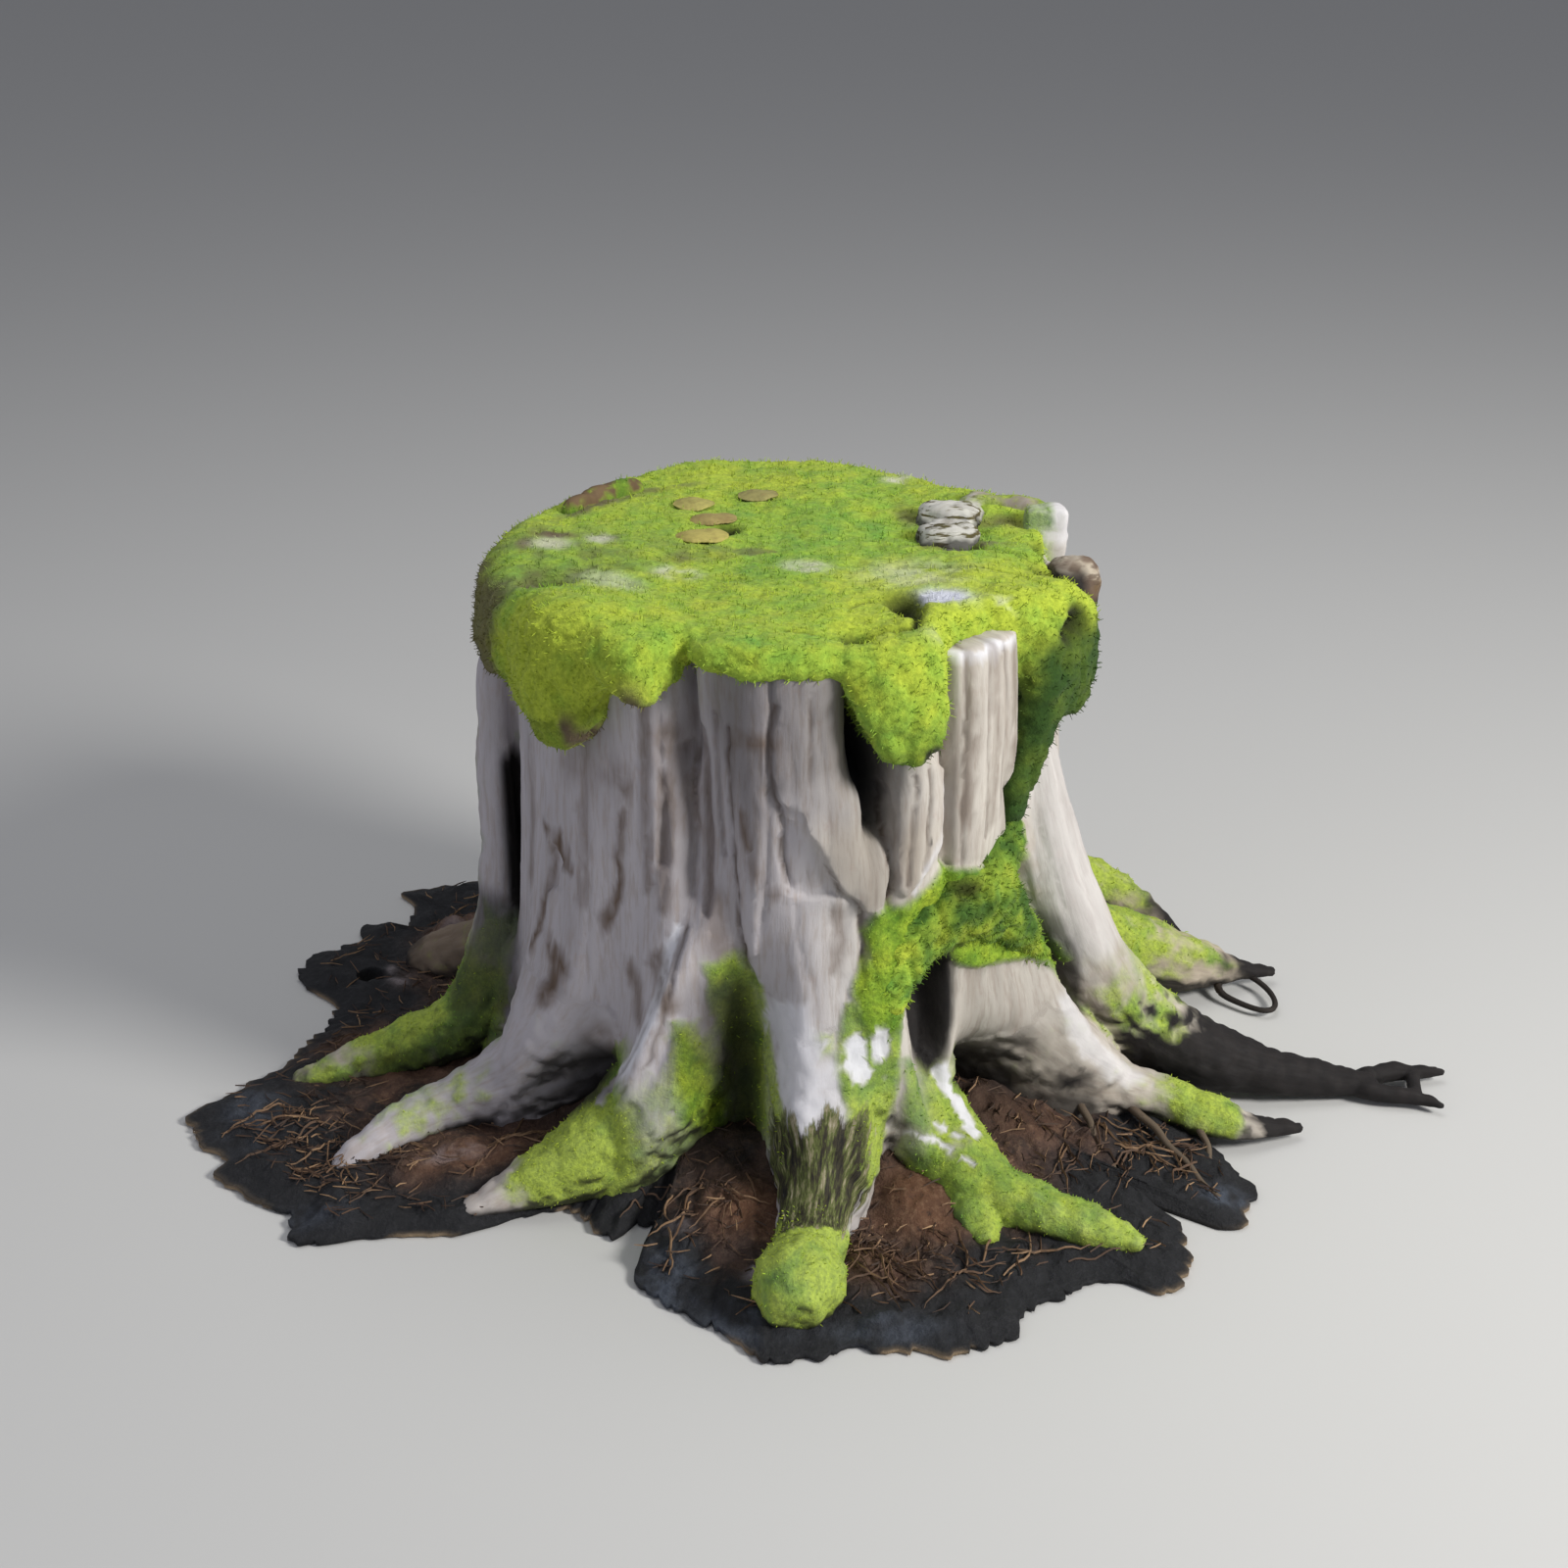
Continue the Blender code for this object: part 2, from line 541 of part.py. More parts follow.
def add_moss_cap(collection, cutters, stump, material):
    strip = tube_mesh("strip", from_polar(CAP_STRIP))
    cap = object_from("moss_cap", [cap_mesh(), strip], collection)
    fuse(cap, MOSS_VOXEL, 2, CAP_TRIANGLES)
    cut(cap, stump.data, cutters, GAP)
    cap.data.materials.clear()
    cap.data.materials.append(material)
    return cap


def add_moss_crook(collection, cutters, stump, cap, material):
    meshes = [tube_mesh("crook_%d" % i, from_polar(path)) for i, path in enumerate(CROOK_PATHS)]
    crook = object_from("moss_crook", meshes, collection)
    fuse(crook, MOSS_VOXEL, 2, CROOK_TRIANGLES)
    cut(crook, stump.data, cutters, GAP)
    cut(crook, cap.data, cutters, GAP)
    crook.data.materials.clear()
    crook.data.materials.append(material)
    return crook


def outline_radius(degrees):
    """Distance of the mat's outline from the axis along each direction."""
    points = np.array(MAT_OUTLINE)
    ends = np.roll(points, -1, axis=0)
    found = []
    for angle in np.radians(degrees):
        direction = np.array([math.sin(angle), -math.cos(angle)])
        side = points[:, 0] * direction[1] - points[:, 1] * direction[0]
        other = ends[:, 0] * direction[1] - ends[:, 1] * direction[0]
        crossed = (side * other) <= 0
        share = side[crossed] / (side[crossed] - other[crossed] + 1e-12)
        spots = points[crossed] + share[:, None] * (ends[crossed] - points[crossed])
        reach = spots @ direction
        found.append(reach[reach > 0].max())
    return np.array(found)


def mat_height(x, y, edge_share):
    """Top of the litter: a mound round the trunk, low lumps, and a thin ragged edge."""
    radius = np.hypot(x, y)
    mound = MOUND_HEIGHT * np.exp(-np.maximum(radius - MOUND_RADIUS, 0.0) / MOUND_FALL)
    lumps = np.array([noise.noise(Vector((px * 16, py * 16, 2.0))) for px, py in zip(x, y)])
    inside = np.clip((1 - edge_share) / 0.2, 0, 1)
    return MAT_EDGE + (MAT_TOP - MAT_EDGE + mound + 0.006 * np.abs(lumps)) * inside


def mat_mesh():
    degrees = np.arange(0, 360, 2.5)
    reach = outline_radius(degrees)
    rings = [polar_point(degrees, reach * share, 0 * degrees) for share in (0.5, 1.0)]
    for share in (1.0, 0.95, 0.88, 0.8, 0.7, 0.6, 0.5, 0.3):
        ring = polar_point(degrees, reach * share, 0 * degrees)
        ring[:, 2] = mat_height(ring[:, 0], ring[:, 1], share)
        rings.append(ring)
    return ring_loft("mat", rings, (0, 0, 0), (0, 0, 0.05))


def add_litter_mat(collection, cutters, stump, material):
    mat = object_from("litter_mat", [mat_mesh()], collection)
    keep_largest(mat)
    cut(mat, stump.data, cutters, GAP)
    bm = bmesh.new()
    bmesh.ops.create_cone(
        bm, cap_ends=True, segments=10, radius1=RING_HOLE[2], radius2=RING_HOLE[2], depth=0.2
    )
    bmesh.ops.translate(bm, vec=(RING_HOLE[0], RING_HOLE[1], 0), verts=bm.verts)
    hole = bpy.data.meshes.new("ring_hole")
    bm.to_mesh(hole)
    bm.free()
    cut(mat, hole, cutters, 0.0)
    mat.data.materials.clear()
    mat.data.materials.append(material)
    return mat


def leaf_mesh(name, half_length, half_width):
    """A pointed leaf blade, arched along and across, with its thickness."""
    bm = bmesh.new()
    steps = 8
    rows = []
    for i in range(steps + 1):
        along = -1 + 2 * i / steps
        width = half_width * max(0.10, (1 - along * along)) ** 0.7
        row = []
        for across in (-1.0, -0.5, 0.0, 0.5, 1.0):
            wave = 1 + 0.08 * math.sin(3.1 * i + 2 * across)
            lift = 0.10 * half_length * (1 - along * along) + 0.12 * half_width * abs(across)
            row.append(bm.verts.new((along * half_length, across * width * wave, lift)))
        rows.append(row)
    for first, second in zip(rows, rows[1:]):
        for k in range(4):
            bm.faces.new((first[k], second[k], second[k + 1], first[k + 1]))
    bmesh.ops.recalc_face_normals(bm, faces=bm.faces)
    bmesh.ops.solidify(bm, geom=bm.faces[:], thickness=LEAF_THICKNESS)
    bmesh.ops.recalc_face_normals(bm, faces=bm.faces)
    bmesh.ops.triangulate(bm, faces=bm.faces)
    mesh = bpy.data.meshes.new(name)
    bm.to_mesh(mesh)
    bm.free()
    return mesh


def add_leaves(collection, cutters, cap, material):
    """Each leaf lies in a shallow nest that it has pressed into the moss."""
    for i, (x, y, half_length, half_width, turn) in enumerate(LEAVES):
        name = "leaf_%d" % (i + 1)
        mesh = leaf_mesh(name, half_length, half_width)
        angle = math.radians(turn)
        height = float(cap_top(x, y))
        for vert in mesh.vertices:
            u, v, w = vert.co
            vert.co = (
                x + u * math.cos(angle) - v * math.sin(angle),
                y + u * math.sin(angle) + v * math.cos(angle),
                height + w + LEAF_LIFT - 0.10 * half_length,
            )
        leaf = object_from(name, [mesh], collection)
        leaf.data.materials.append(material)
        cut(leaf, cap.data, cutters, GAP)


def main():
    clear_scene()
    stump_parts = make_collection("tree_stump")
    cutters = make_collection("cutters", for_cutters=True)
    wood = make_material("weathered_wood", (0.36, 0.33, 0.31), 0.85)
    moss = make_material("cap_moss", (0.25, 0.34, 0.05), 0.95)
    crook_moss = make_material("crook_moss", (0.17, 0.26, 0.04), 0.95)
    litter = make_material("litter", (0.055, 0.035, 0.028), 0.95)
    leaf = make_material("dry_leaf", (0.40, 0.30, 0.10), 0.8)
    stump = add_stump_wood(stump_parts, cutters, wood)
    cap = add_moss_cap(stump_parts, cutters, stump, moss)
    add_moss_crook(stump_parts, cutters, stump, cap, crook_moss)
    add_litter_mat(stump_parts, cutters, stump, litter)
    add_leaves(stump_parts, cutters, cap, leaf)


main()
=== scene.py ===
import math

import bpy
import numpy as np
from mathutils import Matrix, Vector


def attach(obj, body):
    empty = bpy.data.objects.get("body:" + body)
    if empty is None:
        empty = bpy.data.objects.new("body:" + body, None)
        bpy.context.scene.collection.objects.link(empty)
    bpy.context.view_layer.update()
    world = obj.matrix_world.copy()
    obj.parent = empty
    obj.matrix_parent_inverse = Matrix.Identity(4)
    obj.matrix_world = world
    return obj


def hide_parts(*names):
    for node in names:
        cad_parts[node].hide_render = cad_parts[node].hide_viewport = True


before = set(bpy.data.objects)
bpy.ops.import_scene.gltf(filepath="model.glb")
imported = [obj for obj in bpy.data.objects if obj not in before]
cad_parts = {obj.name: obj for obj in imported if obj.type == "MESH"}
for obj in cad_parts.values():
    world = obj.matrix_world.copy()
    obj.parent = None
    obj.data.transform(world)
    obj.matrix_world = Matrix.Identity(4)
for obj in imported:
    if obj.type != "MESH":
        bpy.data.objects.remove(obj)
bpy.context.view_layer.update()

# A weathered tree stump with a cap of moss, on a ragged skin of forest litter.
# Angles round the trunk are in degrees from the front (-Y), growing towards +X.
# Every piece is a surface worked out with numpy. Those that grew together are fused by a
# voxel remesh, and their fine relief is a field of the place, added along the normals.

# The camera stands where the photograph was taken from
CAMERA_TARGET = (0.003, 0.0, 0.302)
CAMERA_DISTANCE = 2.36
CAMERA_ELEVATION = 24.0
CAMERA_LENS = 57.08
SENSOR_WIDTH = 36.0

# Lamps: name, place, size, power, colour
LAMPS = (
    ("key", (2.9, -1.75, 2.3), 1.1, 159, (1.0, 0.98, 0.94)),
    ("fill", (-2.4, -2.2, 1.6), 2.6, 15, (0.84, 0.86, 1.0)),
    ("top", (0.0, 0.4, 3.0), 2.2, 22, (1.0, 1.0, 1.0)),
)
LAMP_TARGET = (0, 0, 0.25)
FLOOR_REACH = 9

# How finely the grown pieces are fused, softened and thinned, and how much is strewn on them
WOOD_VOXEL = 0.0029
CAP_VOXEL = 0.0032
CROOK_VOXEL = 0.0026
SOFTENING_STEPS = 3
WOOD_TRIANGLES = 180000
CAP_TRIANGLES = 180000
CROOK_TRIANGLES = 60000
ROOT_SPRIGS = 7000
CAP_SPRIGS = 16000
CROOK_SPRIGS = 3000
NEEDLES = 3000

# The trunk, as in the part
TRUNK_RADIUS = 0.252
CUT_HEIGHT = 0.515
WOOD_FOOT = 0.006
FLARE_HEIGHT = 0.070
# Each buttress: angle at the floor, angle high up, how far it reaches out, half width
BUTTRESSES = (
    (-80, -84, 0.04, 7.0), (-63, -50, 0.055, 9.0), (-34, -17, 0.055, 6.5), (7, 8, 0.085, 8.0),
    (31, 25, 0.05, 5.5), (66, 50, 0.065, 9.0), (78, 68, 0.08, 9.0), (104, 104, 0.06, 9.0),
    (128, 130, 0.06, 9.0), (158, 158, 0.07, 10.0), (-172, -172, 0.075, 10.0),
    (-142, -142, 0.07, 10.0), (-114, -114, 0.06, 9.0),
)
# Relief: angle, half width, middle height, half height, depth inwards, lean in degrees a metre
RELIEF = (
    (-20, 2.4, 0.49, 0.09, 0.045, 0), (-17.5, 3.0, 0.37, 0.1, 0.016, 0),
    (-12.5, 5.0, 0.42, 0.13, 0.013, 0), (-9.5, 7.5, 0.05, 0.19, 0.052, 20),
    (-46, 8.0, 0.03, 0.08, 0.05, 60), (-23, 2.6, 0.19, 0.1, -0.014, 78),
    (2, 8.0, 0.36, 0.22, -0.006, 0), (17.5, 5.4, 0.46, 0.055, 0.075, 0),
    (17.8, 2.6, 0.4, 0.045, 0.055, 0), (10, 6.0, 0.34, 0.04, -0.008, -90),
    (27, 5.0, 0.36, 0.07, -0.01, 0), (33.2, 1.3, 0.41, 0.12, 0.014, 0),
    (43.5, 9.5, 0.42, 0.11, -0.012, 0), (59, 1.9, 0.24, 0.12, 0.045, -69),
    (70, 12.0, 0.31, 0.11, -0.01, 0), (29, 4.2, 0.18, 0.09, 0.045, 0),
    (46, 11.0, 0.0, 0.115, 0.09, 0), (92, 6.0, 0.1, 0.2, 0.02, 0),
    (-78.8, 4.0, 0.28, 0.1, 0.036, 0), (116, 5.0, 0.2, 0.25, 0.018, 0),
    (144, 5.0, 0.25, 0.3, 0.02, 0), (174, 4.0, 0.3, 0.3, 0.016, 0),
    (-157, 5.0, 0.22, 0.25, 0.02, 0), (-128, 5.0, 0.3, 0.3, 0.018, 0),
)
# Roots: points along the middle as x, y, z and radius
ROOTS = {
    "rib_and_far_left": (
        (-0.25, -0.03, 0.462, 0.01), (-0.264, -0.035, 0.44, 0.018), (-0.262, -0.03, 0.39, 0.014),
        (-0.266, -0.03, 0.34, 0.017), (-0.263, -0.028, 0.27, 0.018), (-0.265, -0.028, 0.18, 0.027),
        (-0.274, -0.03, 0.11, 0.034), (-0.303, -0.04, 0.066, 0.03), (-0.352, -0.038, 0.042, 0.024),
        (-0.4, -0.045, 0.028, 0.021), (-0.446, -0.059, 0.018, 0.016),
        (-0.473, -0.062, 0.011, 0.008),
    ),
    "left": (
        (-0.15, -0.11, 0.12, 0.07), (-0.217, -0.134, 0.075, 0.048), (-0.255, -0.138, 0.057, 0.034),
        (-0.292, -0.142, 0.043, 0.026), (-0.328, -0.153, 0.034, 0.021),
        (-0.362, -0.174, 0.026, 0.018), (-0.394, -0.205, 0.018, 0.013),
        (-0.406, -0.224, 0.012, 0.006),
    ),
    "front_left": (
        (-0.085, -0.175, 0.12, 0.04), (-0.132, -0.225, 0.07, 0.042), (-0.174, -0.248, 0.04, 0.036),
        (-0.209, -0.255, 0.028, 0.027), (-0.243, -0.267, 0.019, 0.018),
        (-0.269, -0.28, 0.012, 0.011), (-0.283, -0.288, 0.009, 0.006),
    ),
    "front": (
        (0.04, -0.2, 0.15, 0.055), (0.036, -0.265, 0.082, 0.042), (0.033, -0.31, 0.052, 0.035),
        (0.029, -0.35, 0.036, 0.03), (0.023, -0.385, 0.028, 0.024), (0.017, -0.412, 0.032, 0.035),
        (0.014, -0.436, 0.033, 0.037), (0.012, -0.462, 0.028, 0.018),
    ),
    "front_right": (
        (0.1, -0.165, 0.13, 0.03), (0.128, -0.208, 0.078, 0.031), (0.15, -0.245, 0.046, 0.034),
        (0.172, -0.282, 0.036, 0.032), (0.204, -0.3, 0.03, 0.024), (0.244, -0.317, 0.026, 0.02),
        (0.285, -0.335, 0.021, 0.017), (0.314, -0.347, 0.015, 0.008),
    ),
    "front_right_stub": (
        (0.16, -0.265, 0.036, 0.026), (0.174, -0.308, 0.024, 0.02), (0.181, -0.344, 0.015, 0.009),
    ),
    "right": (
        (0.18, -0.09, 0.13, 0.06), (0.235, -0.105, 0.088, 0.048), (0.281, -0.119, 0.06, 0.03),
        (0.328, -0.122, 0.043, 0.023), (0.373, -0.134, 0.033, 0.018), (0.408, -0.151, 0.027, 0.019),
        (0.432, -0.16, 0.022, 0.013), (0.465, -0.15, 0.014, 0.009), (0.492, -0.144, 0.011, 0.005),
    ),
    "far_right": (
        (0.222, -0.105, 0.4, 0.02), (0.232, -0.105, 0.34, 0.028), (0.242, -0.1, 0.28, 0.034),
        (0.266, -0.09, 0.205, 0.04), (0.306, -0.072, 0.12, 0.038), (0.358, -0.06, 0.066, 0.037),
        (0.417, -0.064, 0.038, 0.031), (0.483, -0.07, 0.024, 0.02), (0.536, -0.07, 0.016, 0.015),
        (0.572, -0.069, 0.013, 0.011),
    ),
    "far_right_upper_prong": (
        (0.56, -0.066, 0.013, 0.01), (0.598, -0.036, 0.011, 0.007), (0.622, -0.047, 0.011, 0.008),
        (0.652, -0.04, 0.01, 0.003),
    ),
    "far_right_lower_prong": (
        (0.56, -0.074, 0.013, 0.01), (0.586, -0.095, 0.011, 0.008), (0.612, -0.08, 0.011, 0.009),
        (0.635, -0.106, 0.01, 0.003),
    ),
    "prong_bridge": ((0.618, -0.044, 0.011, 0.006), (0.613, -0.084, 0.011, 0.006)),
    "back_right": (
        (0.2, 0.06, 0.14, 0.06), (0.28, 0.1, 0.096, 0.04), (0.331, 0.128, 0.066, 0.036),
        (0.373, 0.138, 0.05, 0.034), (0.413, 0.136, 0.04, 0.031), (0.45, 0.142, 0.03, 0.023),
        (0.478, 0.15, 0.022, 0.01), (0.52, 0.162, 0.013, 0.005),
    ),
    "back_right_far": (
        (0.17, 0.15, 0.13, 0.06), (0.255, 0.245, 0.088, 0.036), (0.315, 0.3, 0.06, 0.027),
        (0.358, 0.298, 0.042, 0.024), (0.396, 0.276, 0.026, 0.016), (0.434, 0.248, 0.012, 0.005),
    ),
    "back_one": (
        (0.07, 0.18, 0.11, 0.06), (0.105, 0.29, 0.06, 0.036), (0.14, 0.37, 0.03, 0.024),
        (0.15, 0.43, 0.014, 0.01),
    ),
    "back_two": (
        (-0.03, 0.19, 0.11, 0.06), (-0.045, 0.31, 0.056, 0.036), (-0.03, 0.39, 0.03, 0.024),
        (-0.06, 0.45, 0.014, 0.009),
    ),
    "back_left": (
        (-0.12, 0.15, 0.11, 0.06), (-0.195, 0.235, 0.062, 0.036), (-0.26, 0.29, 0.032, 0.024),
        (-0.29, 0.345, 0.014, 0.01),
    ),
    "left_behind": (
        (-0.18, 0.08, 0.11, 0.06), (-0.29, 0.13, 0.056, 0.038), (-0.352, 0.16, 0.034, 0.028),
        (-0.385, 0.175, 0.018, 0.016),
    ),
}
ROOTLETS = (
    (
        (0.462, 0.146, 0.018, 0.006), (0.449, 0.128, 0.01, 0.004), (0.472, 0.101, 0.009, 0.003),
        (0.498, 0.08, 0.009, 0.003), (0.512, 0.092, 0.009, 0.003), (0.512, 0.124, 0.009, 0.003),
        (0.5, 0.146, 0.012, 0.003), (0.486, 0.154, 0.016, 0.003),
    ),
    (
        (0.276, -0.12, 0.055, 0.005), (0.276, -0.15, 0.042, 0.0042), (0.292, -0.17, 0.034, 0.0036),
        (0.286, -0.192, 0.027, 0.0034), (0.308, -0.214, 0.02, 0.003), (0.303, -0.24, 0.014, 0.0026),
        (0.313, -0.262, 0.011, 0.0022),
    ),
    (
        (0.318, -0.125, 0.04, 0.005), (0.33, -0.152, 0.033, 0.0042), (0.352, -0.17, 0.029, 0.0036),
        (0.354, -0.196, 0.024, 0.0034), (0.378, -0.218, 0.018, 0.003),
        (0.38, -0.244, 0.013, 0.0026), (0.396, -0.262, 0.011, 0.0022),
    ),
    (
        (0.39, -0.145, 0.028, 0.0045), (0.388, -0.168, 0.023, 0.0036),
        (0.402, -0.186, 0.018, 0.003), (0.392, -0.206, 0.014, 0.0026),
        (0.398, -0.226, 0.012, 0.0022),
    ),
)
# Bark and broken wood on the rim: place, half sizes, turn, squareness (1 is round)
RIM_PIECES = (
    ((0.262, -0.024, 0.505), (0.026, 0.026, 0.034), 10, 0.85),
    ((0.246, 0.064, 0.528), (0.02, 0.012, 0.029), 5, 0.3),
    ((0.16, 0.086, 0.52), (0.032, 0.022, 0.032), -12, 0.45),
    ((0.154, 0.036, 0.518), (0.03, 0.023, 0.032), 8, 0.45),
    ((0.212, 0.106, 0.524), (0.046, 0.012, 0.031), -14, 0.6),
    ((-0.172, 0.146, 0.52), (0.054, 0.011, 0.033), 49, 0.6),
)
# Plates of the trunk: how far they stand out, softness of the edge, outline as angle, height
PLATES = (
    (
        0.005, 0.0018,
        (
            (-1.0, 0.53), (-1.9, 0.462), (-1.8, 0.427), (-0.6, 0.402), (1.6, 0.396), (3.9, 0.393),
            (5.1, 0.375), (7.3, 0.36), (8.5, 0.342), (11.7, 0.318), (14.1, 0.31), (15.2, 0.297),
            (17.5, 0.292), (19.6, 0.303), (20.6, 0.33), (19.1, 0.364), (16.2, 0.372), (14.3, 0.411),
            (12.3, 0.465), (11.5, 0.53),
        ),
    ),
    (
        -0.006, 0.002,
        (
            (-0.5, 0.39), (0.2, 0.345), (1.2, 0.318), (5.0, 0.312), (10.5, 0.314), (9.0, 0.334),
            (8.0, 0.35), (6.0, 0.362), (4.2, 0.38),
        ),
    ),
    (
        0.004, 0.0018,
        (
            (24.2, 0.425), (28.5, 0.43), (32.9, 0.41), (31.8, 0.372), (31.2, 0.35), (27.0, 0.322),
            (23.6, 0.305), (21.6, 0.316), (21.6, 0.35), (22.4, 0.39),
        ),
    ),
    (
        0.0022, 0.0016,
        (
            (33.4, 0.53), (33.5, 0.44), (33.2, 0.38), (33.0, 0.33), (40.0, 0.3), (50.0, 0.3),
            (55.5, 0.329), (53.2, 0.371), (53.5, 0.464), (52.0, 0.53),
        ),
    ),
    (
        0.004, 0.002,
        (
            (-14.0, 0.53), (-11.4, 0.46), (-10.4, 0.4), (-9.2, 0.33), (-7.0, 0.24), (-4.5, 0.25),
            (-3.5, 0.33), (-2.6, 0.4), (-2.2, 0.462), (-2.0, 0.53),
        ),
    ),
    (-0.006, 0.003, ((-55.0, 0.3), (-53.0, 0.314), (-49.5, 0.3), (-51.0, 0.274), (-54.0, 0.264))),
)
# Folds and splits of the trunk: width, depth inwards, darkness, and points as angle, height
SPLITS = (
    (0.0024, 0.006, 1.0, ((20.9, 0.4), (20.6, 0.36), (20.9, 0.314), (20.2, 0.296))),
    (0.0018, 0.004, 0.9, ((33.4, 0.512), (33.3, 0.43), (33.0, 0.37), (32.6, 0.325))),
    (0.0014, 0.0026, 0.7, ((28.4, 0.42), (27.4, 0.365), (26.6, 0.33))),
    (0.0014, 0.0026, 0.6, ((25.6, 0.415), (24.4, 0.36), (23.6, 0.318))),
    (0.0016, 0.003, 0.6, ((8.5, 0.344), (11.7, 0.316), (14.1, 0.306), (15.2, 0.294))),
    (0.003, 0.005, 0.8, ((15.0, 0.29), (15.6, 0.262), (14.6, 0.235))),
    (0.004, 0.006, 0.5, ((-23.8, 0.5), (-23.9, 0.438), (-23.5, 0.38), (-24.0, 0.33))),
    (0.003, 0.005, 0.4, ((-21.0, 0.43), (-19.4, 0.397), (-18.3, 0.36), (-18.6, 0.3))),
    (0.003, 0.005, 0.3, ((-16.6, 0.45), (-16.0, 0.4), (-15.2, 0.34), (-14.8, 0.29))),
    (0.0024, 0.004, 0.5, ((-13.5, 0.47), (-13.0, 0.414), (-12.4, 0.369), (-11.6, 0.344))),
    (
        0.0022, 0.0045, 0.9,
        (
            (-10.2, 0.461), (-9.9, 0.408), (-9.5, 0.364), (-8.6, 0.32), (-7.9, 0.273),
            (-7.1, 0.234), (-5.5, 0.21),
        ),
    ),
    (
        0.002, 0.0035, 0.8,
        (
            (-1.1, 0.488), (-2.0, 0.462), (-1.9, 0.427), (-1.1, 0.409), (0.1, 0.392), (0.4, 0.35),
            (1.2, 0.32),
        ),
    ),
    (0.0015, 0.0016, 0.6, ((36.0, 0.512), (36.4, 0.44), (36.0, 0.36), (36.8, 0.31))),
    (0.0014, 0.0012, 0.5, ((41.5, 0.512), (41.0, 0.43), (41.6, 0.34))),
    (0.0015, 0.0014, 0.5, ((46.2, 0.512), (46.8, 0.43), (46.0, 0.35))),
    (0.0016, 0.0016, 0.7, ((5.6, 0.501), (5.6, 0.471), (5.8, 0.445), (5.0, 0.42))),
    (
        0.0016, 0.0018, 0.6,
        ((-18.5, 0.275), (-20.0, 0.232), (-21.5, 0.19), (-24.0, 0.15), (-30.0, 0.104)),
    ),
    (0.0014, 0.0014, 0.5, ((-21.8, 0.24), (-24.2, 0.19), (-27.5, 0.15), (-34.0, 0.098))),
)
# Brown stains: width, strength, points as angle, height
STAINS = (
    (0.006, 1.0, ((-55.5, 0.325), (-51.0, 0.318), (-48.5, 0.3))),
    (0.004, 1.0, ((-51.0, 0.326), (-48.0, 0.318), (-46.2, 0.296))),
    (0.0046, 1.0, ((-53.8, 0.312), (-53.6, 0.283), (-54.5, 0.253), (-55.9, 0.227), (-58.3, 0.203))),
    (0.01, 1.0, ((-50.6, 0.214), (-48.6, 0.198), (-49.3, 0.184), (-50.4, 0.168))),
    (0.006, 1.0, ((-48.2, 0.206), (-46.2, 0.202))),
    (0.0046, 1.0, ((-34.2, 0.33), (-33.6, 0.306), (-34.0, 0.29), (-35.6, 0.276), (-36.8, 0.256))),
    (0.0044, 0.8, ((-36.0, 0.272), (-38.2, 0.262), (-37.4, 0.248))),
    (0.005, 0.8, ((-31.6, 0.394), (-32.6, 0.376), (-33.3, 0.349), (-34.1, 0.32))),
    (0.009, 0.6, ((-23.6, 0.45), (-23.0, 0.4), (-23.2, 0.341), (-23.4, 0.29))),
    (0.012, 0.5, ((-23.0, 0.385), (-22.0, 0.37))),
    (0.01, 0.8, ((-24.0, 0.238), (-22.0, 0.222), (-21.0, 0.205))),
    (0.006, 0.6, ((-19.2, 0.45), (-19.0, 0.397), (-18.3, 0.358))),
    (0.006, 0.6, ((-16.2, 0.43), (-15.6, 0.38), (-15.0, 0.33), (-14.4, 0.29))),
    (0.005, 0.9, ((-7.5, 0.385), (-6.7, 0.369), (-6.1, 0.356))),
    (0.0046, 0.7, ((-5.3, 0.343), (-4.0, 0.326), (-2.6, 0.318), (-1.2, 0.316))),
    (0.0075, 0.8, ((-8.9, 0.454), (-5.8, 0.453), (-1.5, 0.455))),
    (0.007, 0.7, ((-31.5, 0.219), (-29.3, 0.204), (-28.2, 0.179))),
    (0.02, 0.7, ((-38.0, 0.14), (-34.5, 0.118))),
    (0.006, 0.5, ((-62.0, 0.4), (-61.5, 0.33), (-63.0, 0.26))),
    (0.007, 0.5, ((-42.0, 0.43), (-42.5, 0.34), (-43.0, 0.27))),
    (0.018, 0.4, ((-47.0, 0.395), (-34.0, 0.405))),
    (0.006, 0.6, ((-27.0, 0.48), (-27.5, 0.4), (-27.0, 0.3))),
    (0.012, 0.6, ((-13.0, 0.3), (-12.0, 0.262), (-11.0, 0.23))),
    (0.0046, 0.6, ((37.0, 0.515), (37.4, 0.44), (37.0, 0.36))),
    (0.006, 0.5, ((43.0, 0.515), (43.6, 0.43), (43.0, 0.35))),
    (0.011, 0.6, ((50.5, 0.5), (51.0, 0.45), (51.0, 0.4))),
    (0.008, 0.5, ((70.0, 0.38), (71.0, 0.33), (72.0, 0.27))),
    (0.007, 0.6, ((8.0, 0.12), (7.0, 0.095), (8.0, 0.07))),
    (0.006, 0.6, ((10.5, 0.3), (11.0, 0.27), (10.0, 0.245))),
)
